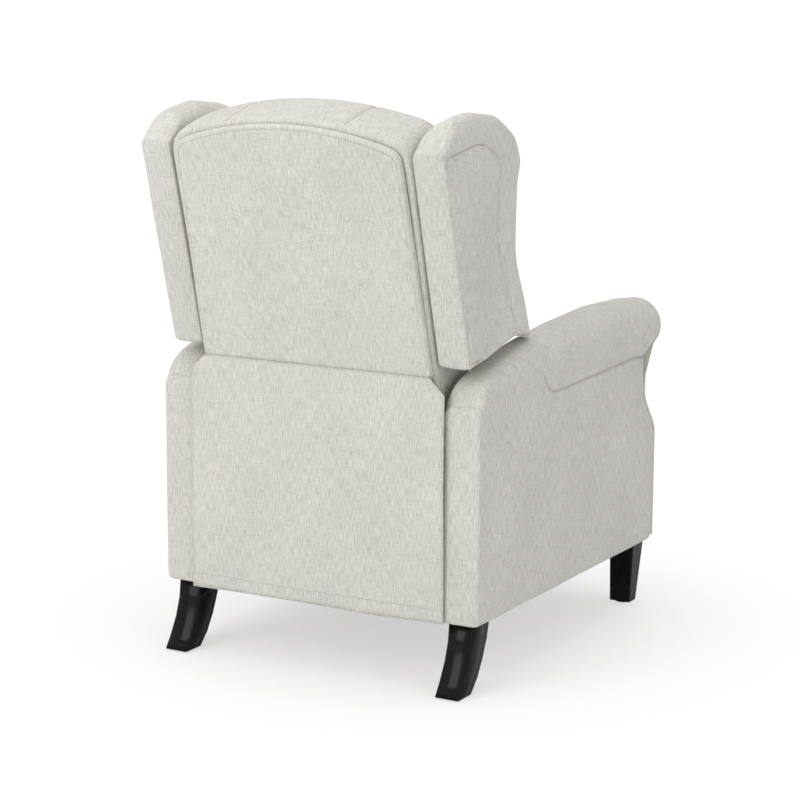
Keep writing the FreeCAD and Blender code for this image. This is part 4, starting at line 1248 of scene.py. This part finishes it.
    def cover(self) -> bpy.types.Object:
        """The whole cover, with its tufts and folds pressed in."""
        form = Form()
        _, front = form.skin([self._ring(level) for level in self.levels])
        along, out, foot = LEAN.upwards(), LEAN.forwards(), LEAN.place(0.0, 0.0, 0.0)
        low, high = self.field_span
        half = self.outline.high - self.front_inset
        rim = {tuple(round(c, 6) for c in v.co) for v in front.verts}
        for vert in form.cut_grid(front, X_AXIS, along, self.cell):
            if tuple(round(c, 6) for c in vert.co) in rim:
                continue
            x, s = vert.co.x, (vert.co - foot).dot(along)
            edge = min(half - abs(x), s - low, high - s)
            vert.co -= out * (self.sink(x, s) * ease(edge / self.field_fade))
        obj = form.done("back_cushion", smooth=1)
        ripple(obj, height=0.0008, size=0.09, seed=11.0)
        lay_cloth(obj)
        return obj

    def buttons(self) -> bpy.types.Object:
        """Cloth-covered buttons, turned from one profile each."""
        form = Form()
        out, up = LEAN.forwards(), LEAN.upwards() * self.button
        for x, s in self.tufts():
            middle = LEAN.place(x, self.depth - self.sink(x, s) + 0.001, s)
            row = form.ring([middle + up * a + out * b for a, b in self.button_profile],
                            closed=False)
            bmesh.ops.spin(form.bm, geom=form.edges_of(row, closed=False) + row, cent=middle,
                           axis=out, angle=math.tau, steps=20, use_merge=True)
        obj = form.done("tuft_buttons_covered", smooth=1)
        lay_cloth(obj)
        return obj

    def build(self, wardrobe: Wardrobe) -> None:
        """Make and dress the back cushion."""
        cover = wardrobe.dress(self.cover(), Slot.UPHOLSTERY, "back", "back_pad")
        wardrobe.dress(self.buttons(), Slot.PIPING, "back", "tuft_buttons")


@dataclass(frozen=True)
class OuterBack:
    """The padded outer panel, with a row of stitches inside its edge.

    Attributes:
        outline: Its shape.
        stitch_inset: How far inside its edge the stitches run.
        stitch_depth: Where they lie, forwards from the outer plane of the back.
        levels: Depth and inset of each ring of its section.
    """

    outline: Arch = Arch(0.236, 0.228, 0.2665, 0.6765, 0.7165, 0.022)
    stitch_inset: float = 0.0080
    stitch_depth: float = -0.0081
    levels: tuple[Pair, ...] = (
        (0.0060, 0.0000), (0.0005, 0.0000), (-0.0040, 0.0006), (-0.0075, 0.0026),
        (-0.0090, 0.0058), (-0.0077, 0.0078), (-0.0094, 0.0098), (-0.0104, 0.0180),
        (-0.0112, 0.0350), (-0.0120, 0.0700), (-0.0124, 0.1150))

    def build(self, wardrobe: Wardrobe) -> None:
        """Make and dress the panel and its stitches."""
        form = Form()
        _, field = form.skin([[LEAN.place(x, depth, s) for x, s in self.outline.points(inset)]
                              for depth, inset in self.levels])
        form.cut_grid(field, X_AXIS, LEAN.upwards(), 0.02)
        panel = form.done("outer_back_panel", smooth=2)
        ripple(panel, height=0.0007, size=0.13, seed=5.0)
        lay_cloth(panel)
        wardrobe.dress(panel, Slot.UPHOLSTERY, "back", "outer_back")
        rows = Stitching("outer_back_stitching")
        seam = self.outline.points(self.stitch_inset)
        rows.sew([LEAN.place(x, self.stitch_depth, s) for x, s in seam], -LEAN.forwards(),
                 closed=True)
        wardrobe.sew(rows, "back")


@dataclass(frozen=True)
class Wing:
    """One wing: a flat outer face inside a padded rim that rolls over top and front.

    Attributes:
        side: Which wing it is.
        inner: Half width of the chair at its inner face.
        outer: The same at its outer face.
        outline: Its shape from the side.
        rim: How far each run draws in from the rim's crest to the faces.
        seam: How far inside each run the seam lies.
        crest_x: Half width of the chair at the rim's crest.
        seam_bend: The least radius of the seam's corners.
        rim_steps: Rings in a quarter turn of the rim.
        seam_rows: Inset from the seam and rise of each ring from the seam inwards.
        field_rows: How far the rings of the outer face draw in, and their rise.
        inner_rows: How far the rings of the inner face draw in.
        inner_dish: How far the inner face sinks at its middle.
        cushion: How far the cloth rises between rim and seam.
        sewn: Distance from rim to seam at which the seam starts, and at which it is full.
        flat_share: How much of the seam's rise is left where rim and seam meet.
        stitch_inset: How far inside the seam the stitches run.
        stitch_gap: The least distance from rim to seam that leaves room for stitches.
    """

    side: Side
    inner: float = 0.2448
    outer: float = 0.3050
    outline: Outline = Outline(
        ((0.317, 0.577), (0.250, 0.588), (0.140, 0.614), (0.060, 0.603), (0.090, 0.680),
         (0.128, 0.762), (0.123, 0.885), (0.110, 0.925), (0.134, 0.972), (0.200, 1.007),
         (0.290, 1.016), (0.364, 1.004), (0.4175, 0.955)),
        (0.012, 0.060, 0.020, 0.016, 0.120, 0.100, 0.060, 0.040, 0.050, 0.070, 0.100, 0.050,
         0.006))
    rim: tuple[float, ...] = (0.0045, 0.0045, 0.008) + (0.032,) * 8 + (0.012, 0.0045)
    seam: tuple[float, ...] = (0.007, 0.007, 0.006, 0.070, 0.070, 0.086, 0.086, 0.084, 0.070,
                               0.052, 0.050, 0.020, 0.009)
    crest_x: float = 0.2825
    seam_bend: float = 0.022
    rim_steps: int = 8
    seam_rows: tuple[Pair, ...] = ((0.0, 0.0004), (0.0013, -0.0056), (0.0028, 0.0002),
                                   (0.0064, 0.0006), (0.0072, -0.0006), (0.0082, 0.0008))
    field_rows: tuple[Pair, ...] = ((0.18, 0.0018), (0.5, 0.0026))
    inner_rows: tuple[float, ...] = (0.5, 0.2, 0.06)
    inner_dish: float = 0.0008
    cushion: float = 0.0016
    sewn: Pair = (0.004, 0.016)
    flat_share: float = 0.15
    stitch_inset: float = 0.0072
    stitch_gap: float = 0.02

    def _lift(self, points: Iterable[Pair], x: float,
              out: Sequence[float] | None = None) -> list[Vector]:
        """Put a side outline at a half width, with a rise of its own at each point."""
        return [Vector((self.side.value * (x + rise), y, z))
                for (y, z), rise in zip(points, out or repeat(0.0))]

    def _rim_ring(self, turn: float) -> list[Pair]:
        """The outline at an angle round the rim, 0 at its crest."""
        away = 1 - math.cos(turn)
        return self.outline.points([amount * away for amount in self.rim])

    def _seam_line(self, inset: float = 0.0) -> list[Pair]:
        """The sewn line on the outer face, or a line inside it."""
        return self.outline.points([amount + inset for amount in self.seam], self.seam_bend)

    def cover(self) -> bpy.types.Object:
        """The wing's cover."""
        steps = self.rim_steps
        rings = []
        for turn in (math.pi / 2 * i / steps for i in range(-steps, steps + 1)):
            reach = self.crest_x - self.inner if turn < 0 else self.outer - self.crest_x
            rings.append(self._lift(self._rim_ring(turn), self.crest_x + reach * math.sin(turn)))
        face, seam = self._rim_ring(math.pi / 2), self._seam_line()
        inner_face = [self._lift(draw_in(face, share), self.inner - self.inner_dish * share)
                      for share in self.inner_rows]
        start, full = self.sewn
        sewn = [ease((math.dist(a, b) - start) / (full - start)) for a, b in zip(face, seam)]
        between = [((a[0] + b[0]) / 2, (a[1] + b[1]) / 2) for a, b in zip(face, seam)]
        outer_face = [self._lift(between, self.outer, [self.cushion * k for k in sewn])]
        for inset, rise in self.seam_rows:
            rises = [rise * (self.flat_share + (1 - self.flat_share) * k) for k in sewn]
            outer_face.append(self._lift(self._seam_line(inset), self.outer, rises))
        field = self._seam_line(self.seam_rows[-1][0])
        outer_face += [self._lift(draw_in(field, share), self.outer + rise)
                       for share, rise in self.field_rows]
        form = Form()
        form.skin(inner_face + rings + outer_face)
        obj = form.done(f"wing_cover_{self.side.tag}", smooth=1)
        ripple(obj, height=0.0010, size=0.08, seed=7.0 + self.side.value)
        lay_cloth(obj)
        return obj

    def build(self, wardrobe: Wardrobe) -> None:
        """Make and dress the wing."""
        tag = self.side.tag
        cover = wardrobe.dress(self.cover(), Slot.UPHOLSTERY, "back", f"wing_pad_{tag}")
        face, seam = self._rim_ring(math.pi / 2), self._seam_line()
        rows = Stitching(f"wing_stitching_{tag}")
        sewn = [p for p, a, b in zip(self._seam_line(self.stitch_inset), face, seam)
                if math.dist(a, b) > self.stitch_gap]
        rows.sew(self._lift(sewn, self.outer - 0.0002), X_AXIS * self.side.value)
        wardrobe.sew(rows, "back")


# Loose cloth, seat and footrest


@dataclass(frozen=True)
class RearFlap:
    """The cloth that hangs from the outer back over the opening between the arms.

    Attributes:
        seam_y: The plane that it hangs in.
        half: Half its width.
        top_half: Half its width at the top edge.
        shoulder: Height at which its clipped top corners start.
        top: Height of its top edge.
        hem: Height of its lower edge.
        hem_depth: How far above that edge the hem is stitched.
        thick: How thick it is.
        cell: The size of its mesh.
        waves: Height, pitch, start and slant of each wave in it.
        edge: Where its edges start to curl, and where they end.
        near_curl: How far its edge on the -X side curls out at half height.
        far_curl: How far the other edge does.
        swing: How much farther out the +X side hangs.
        hem_wave: How uneven the hem is.
    """

    seam_y: float = 0.3252
    half: float = 0.2625
    top_half: float = 0.233
    shoulder: float = 0.533
    top: float = 0.562
    hem: float = 0.126
    hem_depth: float = 0.025
    thick: float = 0.0022
    cell: float = 0.009
    waves: tuple[tuple[float, float, float, float], ...] = (
        (0.0030, 13.0, 0.6, 0.0), (0.0014, 31.0, -1.1, 4.0))
    edge: Pair = (0.17, 0.26)
    near_curl: float = 0.0025
    far_curl: float = 0.001
    swing: float = 0.0012
    hem_wave: float = 0.0016

    def hang(self, x: float, z: float) -> float:
        """How far the cloth hangs out from its flat plane."""
        down = ease((self.top - z) / (self.top - self.hem))
        edge = ease((abs(x) - self.edge[0]) / (self.edge[1] - self.edge[0]))
        waves = sum(height * math.sin(pitch * x + start + slant * z)
                    for height, pitch, start, slant in self.waves)
        middle = ease(1 - abs(z - 0.36) / 0.2)
        curl = edge * (self.near_curl * middle if x < 0 else self.far_curl)
        return down * waves + curl + self.swing * ease((x + 0.2) / 0.4) * down

    def build(self, wardrobe: Wardrobe) -> None:
        """Make and dress the flap and its hem stitches."""
        corners = ((-self.half, self.hem), (self.half, self.hem), (self.half, self.shoulder),
                   (self.top_half, self.top), (-self.top_half, self.top),
                   (-self.half, self.shoulder))
        form = Form()
        for vert in form.sheet([Vector((x, self.seam_y, z)) for x, z in corners], X_AXIS,
                               Z_AXIS, self.cell):
            vert.co.y += self.hang(vert.co.x, vert.co.z)
            if vert.co.z < self.hem + 0.001:
                vert.co.z += self.hem_wave * math.sin(17.0 * vert.co.x + 0.4)
        cloth = form.done("rear_flap_cloth")
        lay_cloth(cloth)
        thicken(cloth, self.thick)
        wardrobe.dress(cloth, Slot.UPHOLSTERY, "flap", "rear_flap")
        rows = Stitching("rear_flap_stitching")
        z = self.hem + self.hem_depth
        rows.sew([Vector((x, self.seam_y + self.hang(x, z) + self.thick / 2, z))
                  for x, _ in line((-self.half + 0.004, 0), (self.half - 0.004, 0), 60)],
                 Y_AXIS)
        wardrobe.sew(rows, "flap")


@dataclass(frozen=True)
class BoxCushion:
    """A boxed cushion that is blown up as cloth, with piping round its two seams.

    Attributes:
        name: The piece's name.
        low: Its lowest corner.
        high: Its highest corner.
        up: The axis that its crowned face looks along, 1 for Y and 2 for Z.
        face: 1 where the crowned face is the high one, -1 where it is the low one.
        crown: How far the crowned face may rise past its box.
        draw: How far its sides draw in between their corners.
        start_small: How much smaller it is sewn than it is blown up.
        corner: Radius of its corners.
        piping: Radius of its piping.
        seams: Where its two seams run, as shares of the way up to its crowned face.
        voxel: The size of the mesh that is blown up.
        pressure: The pressure inside.
        cap: The farthest that a point may move.
        bins: In how many places its sides are evened out.
    """

    name: str
    low: Vector
    high: Vector
    up: int
    face: int
    crown: float
    draw: float = 0.004
    start_small: float = 0.012
    corner: float = 0.026
    piping: float = 0.0036
    seams: Pair = (0.84, 0.13)
    voxel: float = 0.006
    pressure: float = 4.0
    cap: float = 0.024
    bins: int = 24

    def cover(self) -> bpy.types.Object:
        """The cover, crowned on its face and flat where it rests."""
        small = self.start_small
        shape = [v - 2 * small for v in self.high - self.low]
        middle = (self.low + self.high) / 2
        form = Form()
        bmesh.ops.create_cube(form.bm, size=1.0, matrix=Matrix.Translation(middle)
                              @ Matrix.Diagonal((*shape, 1.0)))
        bmesh.ops.bevel(form.bm, geom=list(form.bm.edges), offset=self.corner * 0.5, segments=3,
                        profile=0.5, affect="EDGES", material=-1)
        obj = form.done(self.name)
        inflate(obj, self.voxel, self.pressure, self.cap)
        self._fit(obj)
        ripple(obj, height=0.0008, size=0.08, seed=17.0)
        smooth = obj.modifiers.new("Smooth", "SUBSURF")
        smooth.levels = smooth.render_levels = 1
        obj.data.polygons.foreach_set("use_smooth", [True] * len(obj.data.polygons))
        return obj

    def _fit(self, obj: bpy.types.Object) -> None:
        """Fill the box with the blown-up cover, and even out how far its sides draw in."""
        low, high = self.low.copy(), self.high.copy()
        if self.face > 0:
            high[self.up] += self.crown
        else:
            low[self.up] -= self.crown
        flat = [i for i in range(3) if i != self.up]
        places = fill_box([v.co for v in obj.data.vertices], low, high)
        for axis, other in (flat, flat[::-1]):
            self._even_sides(places, low, high, axis, other)
        for vert, place in zip(obj.data.vertices, fill_box(places, low, high)):
            vert.co = place

    def _even_sides(self, places: Sequence[Vector], low: Vector, high: Vector, axis: int,
                    other: int) -> None:
        """Let two opposite sides draw in by a smooth bow between their corners."""
        count, span = self.bins, high[other] - low[other]
        middle, half = (low[axis] + high[axis]) / 2, (high[axis] - low[axis]) / 2
        reach = [0.0] * count
        for place in places:
            k = min(count - 1, int((place[other] - low[other]) / span * count))
            reach[k] = max(reach[k], abs(place[axis] - middle))
        for place in places:
            spot = (place[other] - low[other]) / span * count - 0.5
            k = min(count - 2, max(0, int(spot)))
            t = min(1.0, max(0.0, spot - k))
            along = abs(2 * (spot + 0.5) / count - 1)
            aim = (half - self.draw * (1 - along ** 2)) / (reach[k] * (1 - t) + reach[k + 1] * t)
            share = ease((1 - along) * span / 2 / self.corner)
            place[axis] = middle + (place[axis] - middle) * (1 + (aim - 1) * share)

    def seam_line(self, obj: bpy.types.Object, level: float) -> list[Vector]:
        """Where a seam runs round the cover, on its surface."""
        a, b = (i for i in range(3) if i != self.up)
        r = self.corner
        outline = []
        for sa, sb, start in ((1, 1, 0), (-1, 1, 90), (-1, -1, 180), (1, -1, 270)):
            ca = (self.high[a] - r) if sa > 0 else (self.low[a] + r)
            cb = (self.high[b] - r) if sb > 0 else (self.low[b] + r)
            outline += arc((ca, cb), r, start, start + 90, 7)
        points = []
        for p, q in zip(outline, outline[1:] + outline[:1]):
            gaps = max(1, round(math.dist(p, q) / 0.012))
            for u, v in line(p, q, gaps + 1)[:-1]:
                spot = Vector((0.0, 0.0, 0.0))
                spot[a], spot[b], spot[self.up] = u, v, level
                found = obj.closest_point_on_mesh(spot)[1]
                found[self.up] = level
                points.append(found)
        return points

    def build(self, wardrobe: Wardrobe, body: str, node: str) -> None:
        """Make and dress the cushion and its piping."""
        cover = self.cover()
        lay_cloth(cover)
        wardrobe.dress(cover, Slot.UPHOLSTERY, body, node)
        thick = self.high[self.up] - self.low[self.up]
        for label, share in zip(("front", "rear"), self.seams):
            level = self.low[self.up] + thick * (share if self.face > 0 else 1 - share)
            piping = tube(f"{self.name}_piping_{label}", self.seam_line(cover, level),
                          self.piping, True)
            wardrobe.dress(piping, Slot.PIPING, body)


@dataclass(frozen=True)
class SeatSupport:
    """Elastic webbing over the seat rails and the deck cloth on it.

    Attributes:
        rail_half: Half the length of a strap across the seat.
        front: Where the long straps start.
        rear: Where they end.
        strap: The width of a strap.
        thick: How thick a strap is.
        long_z: Height of the long straps.
        cross_z: Height of the straps that cross them.
        long_straps: Where the long straps are, across the seat.
        cross_straps: Where the crossing straps are, along the seat.
        deck_low: One corner of the deck cloth.
        deck_high: The opposite corner.
        deck_z: Its height.
        deck_thick: How thick it is.
        sag: How far the straps hang at the middle of the seat.
        middle_y: Where that middle is.
        cells: The size of a strap's mesh and of the deck's.
    """

    rail_half: float = 0.215
    front: float = -0.361
    rear: float = 0.096
    strap: float = 0.050
    thick: float = 0.0018
    long_z: float = 0.3860
    cross_z: float = 0.3880
    long_straps: tuple[float, ...] = (-0.135, -0.045, 0.045, 0.135)
    cross_straps: tuple[float, ...] = (-0.320, -0.226, -0.132, -0.038, 0.056)
    deck_low: Pair = (-0.247, -0.371)
    deck_high: Pair = (0.247, 0.104)
    deck_z: float = 0.3918
    deck_thick: float = 0.0022
    sag: float = 0.0012
    middle_y: float = -0.13
    cells: Pair = (0.0125, 0.02)

    def _lay(self, form: Form, low: Pair, high: Pair, z: float, cell: float,
             share: float = 1.0) -> None:
        """Lay one flat piece between two corners, with a share of the seat's sag."""
        corners = (low, (high[0], low[1]), high, (low[0], high[1]))
        for vert in form.sheet([Vector((x, y, z)) for x, y in corners], X_AXIS, Y_AXIS, cell):
            across = max(0.0, 1 - (vert.co.x / 0.2) ** 2)
            along = max(0.0, 1 - ((vert.co.y - self.middle_y) / 0.21) ** 2)
            vert.co.z -= self.sag * across * along * share

    def _webbing(self) -> bpy.types.Object:
        """The long straps and the straps that cross them."""
        form, half, cell = Form(), self.strap / 2, self.cells[0]
        for x in self.long_straps:
            self._lay(form, (x - half, self.front), (x + half, self.rear), self.long_z, cell)
        for y in self.cross_straps:
            self._lay(form, (-self.rail_half, y - half), (self.rail_half, y + half),
                      self.cross_z, cell)
        webbing = form.done("seat_webbing_straps")
        lay_cloth(webbing)
        thicken(webbing, self.thick)
        return webbing

    def _deck(self) -> bpy.types.Object:
        """The deck cloth."""
        form = Form()
        self._lay(form, self.deck_low, self.deck_high, self.deck_z, self.cells[1], share=0.5)
        deck = form.done("seat_deck_cloth")
        lay_cloth(deck)
        thicken(deck, self.deck_thick)
        return deck

    def build(self, wardrobe: Wardrobe) -> None:
        """Make and dress the webbing and the deck."""
        wardrobe.dress(self._webbing(), Slot.WEBBING, "seat", "seat_webbing")
        deck = wardrobe.dress(self._deck(), Slot.DECK_CLOTH, "seat", "seat_deck")


# The studio


@dataclass(frozen=True)
class Softbox:
    """One soft lamp: where it stands, how large it is and how much it adds."""

    name: str
    place: tuple[float, float, float]
    size: float
    level: float
    colour: tuple[float, float, float] = (1.0, 1.0, 1.0)

    def build(self) -> None:
        """Add the lamp, aimed at the middle of the chair."""
        lamp = bpy.data.lights.new(self.name, "AREA")
        lamp.shape = "SQUARE"
        lamp.size = self.size
        lamp.color = self.colour
        aim = Vector((0.0, 0.0, 0.5)) - Vector(self.place)
        lamp.energy = self.level * math.pi ** 2 * aim.length ** 2
        obj = bpy.data.objects.new(self.name, lamp)
        obj.location = self.place
        obj.rotation_euler = aim.to_track_quat("-Z", "Y").to_euler()
        bpy.context.scene.collection.objects.link(obj)


@dataclass(frozen=True)
class Studio:
    """Pale floor, soft light and the photograph's camera.

    Attributes:
        picture: The width of the picture, in pixels.
        focal_pixels: The camera's focal length, in those pixels.
        nudge: The lens shift that the photograph's framing needs.
        sensor: The width of the sensor, in millimetres.
        eye: Where the camera stands.
        yaw: How far it has gone round from straight behind, in degrees.
        pitch: How far it looks down.
        roll: How far it is turned about its own axis.
        sky: How strongly the sky lights the chair.
        floor_glow: How much of the camera's view of the floor is plain white at the chair.
        fade: Between which distances that rises to all of it.
        floor_half: Half the width of the floor.
        floor_tone: How much light the floor gives back.
        white: The strength at which the camera sees sky and floor as white.
        lamps: The lamps.
    """

    picture: float = 800.0
    focal_pixels: float = 2358.0
    nudge: Pair = (-0.0010, 0.0019)
    sensor: float = 36.0
    eye: tuple[float, float, float] = (-2.16310, 3.80792, 1.28751)
    yaw: float = 29.7
    pitch: float = 10.9
    roll: float = 0.3
    sky: float = 0.62
    floor_glow: float = 0.55
    fade: Pair = (0.40, 0.95)
    floor_half: float = 70.0
    floor_tone: float = 0.93
    white: float = 1.02
    lamps: tuple[Softbox, ...] = (
        Softbox("Key", (1.1, 3.4, 2.3), 2.2, 0.345),
        Softbox("Fill", (-3.4, 0.9, 1.7), 2.0, 0.10, (0.86, 0.97, 1.0)),
        Softbox("Top", (0.0, 0.2, 4.0), 3.0, 0.335),
    )

    def build(self) -> None:
        """Set the stage."""
        scene = bpy.context.scene
        scene.view_settings.view_transform = "Standard"
        self._world()
        self._floor()
        for lamp in self.lamps:
            lamp.build()
        self._camera()

    def _world(self) -> None:
        """An even sky that the camera sees as white."""
        world = bpy.data.worlds.new("Studio sky")
        bpy.context.scene.world = world
        world.use_nodes = True
        world.node_tree.nodes.clear()
        w = Wiring(world.node_tree)
        seen = self._seen(w)
        strength = w.spread(seen, 0.0, 1.0, self.sky, self.white)
        glow = w.add("ShaderNodeBackground", {"Color": (1.0, 1.0, 1.0, 1.0),
                                              "Strength": strength})
        w.add("ShaderNodeOutputWorld", {"Surface": glow.outputs[0]})

    @staticmethod
    def _seen(w: Wiring) -> bpy.types.NodeSocket:
        """1 for rays that come straight from the camera."""
        return w.add("ShaderNodeLightPath").outputs["Is Camera Ray"]

    def _floor(self) -> None:
        """A white floor that keeps the shadow and fades into the backdrop."""
        form = Form()
        bmesh.ops.create_grid(form.bm, x_segments=2, y_segments=2, size=self.floor_half)
        floor = form.done("studio_floor")
        material = bpy.data.materials.new("White sweep")
        material.use_nodes = True
        material.node_tree.nodes.clear()
        w = Wiring(material.node_tree)
        away = w.add("ShaderNodeVectorMath", {0: w.place()}, operation="LENGTH")
        fade = w.spread(away.outputs["Value"], *self.fade, self.floor_glow, 1.0)
        matt = w.add("ShaderNodeBsdfDiffuse", {"Color": (*(self.floor_tone,) * 3, 1.0)})
        white = w.add("ShaderNodeEmission", {"Strength": self.white})
        mixed = w.add("ShaderNodeMixShader", {0: w.sum("MULTIPLY", self._seen(w), fade),
                                              1: matt.outputs[0], 2: white.outputs[0]})
        w.add("ShaderNodeOutputMaterial", {"Surface": mixed.outputs[0]})
        floor.data.materials.append(material)

    def _camera(self) -> None:
        """The camera, where the photograph was taken from."""
        yaw, pitch, roll = (math.radians(a) for a in (self.yaw, self.pitch, self.roll))
        back = Vector((-math.sin(yaw) * math.cos(pitch), math.cos(yaw) * math.cos(pitch),
                       math.sin(pitch)))
        across = Z_AXIS.cross(back).normalized()
        upright = back.cross(across)
        right = across * math.cos(roll) + upright * math.sin(roll)
        up = upright * math.cos(roll) - across * math.sin(roll)
        data = bpy.data.cameras.new("Photograph")
        data.sensor_width = self.sensor
        data.lens = self.focal_pixels / self.picture * self.sensor
        data.shift_x, data.shift_y = self.nudge
        data.clip_end = 200.0
        camera = bpy.data.objects.new("Photograph", data)
        camera.matrix_world = (Matrix.Translation(self.eye)
                               @ Matrix((right, up, back)).transposed().to_4x4())
        bpy.context.scene.collection.objects.link(camera)
        bpy.context.scene.camera = camera


def main() -> None:
    """Build the studio and the chair round its frame."""
    logging.basicConfig(level=logging.INFO, format="%(message)s")
    Studio().build()
    wardrobe = Wardrobe()
    for side in Side:
        Arm(side).build(wardrobe)
        for end in ("front", "rear"):
            Leg(side, end).build(wardrobe)
        Wing(side).build(wardrobe)
    BackCushion().build(wardrobe)
    OuterBack().build(wardrobe)
    RearFlap().build(wardrobe)
    BoxCushion("seat_cushion_cover", Vector((-0.2505, -0.435, 0.3950)),
               Vector((0.2505, 0.124, 0.4640)), up=2, face=1, crown=0.010).build(
                   wardrobe, "seat", "seat_cushion")
    BoxCushion("footrest_cushion_cover", Vector((-0.250, -0.431, 0.135)),
               Vector((0.250, -0.3870, 0.391)), up=1, face=-1, crown=0.005).build(
                   wardrobe, "footrest", "footrest_pad")
    SeatSupport().build(wardrobe)
    wardrobe.dress_frame()


if __name__ == "__main__":
    main()
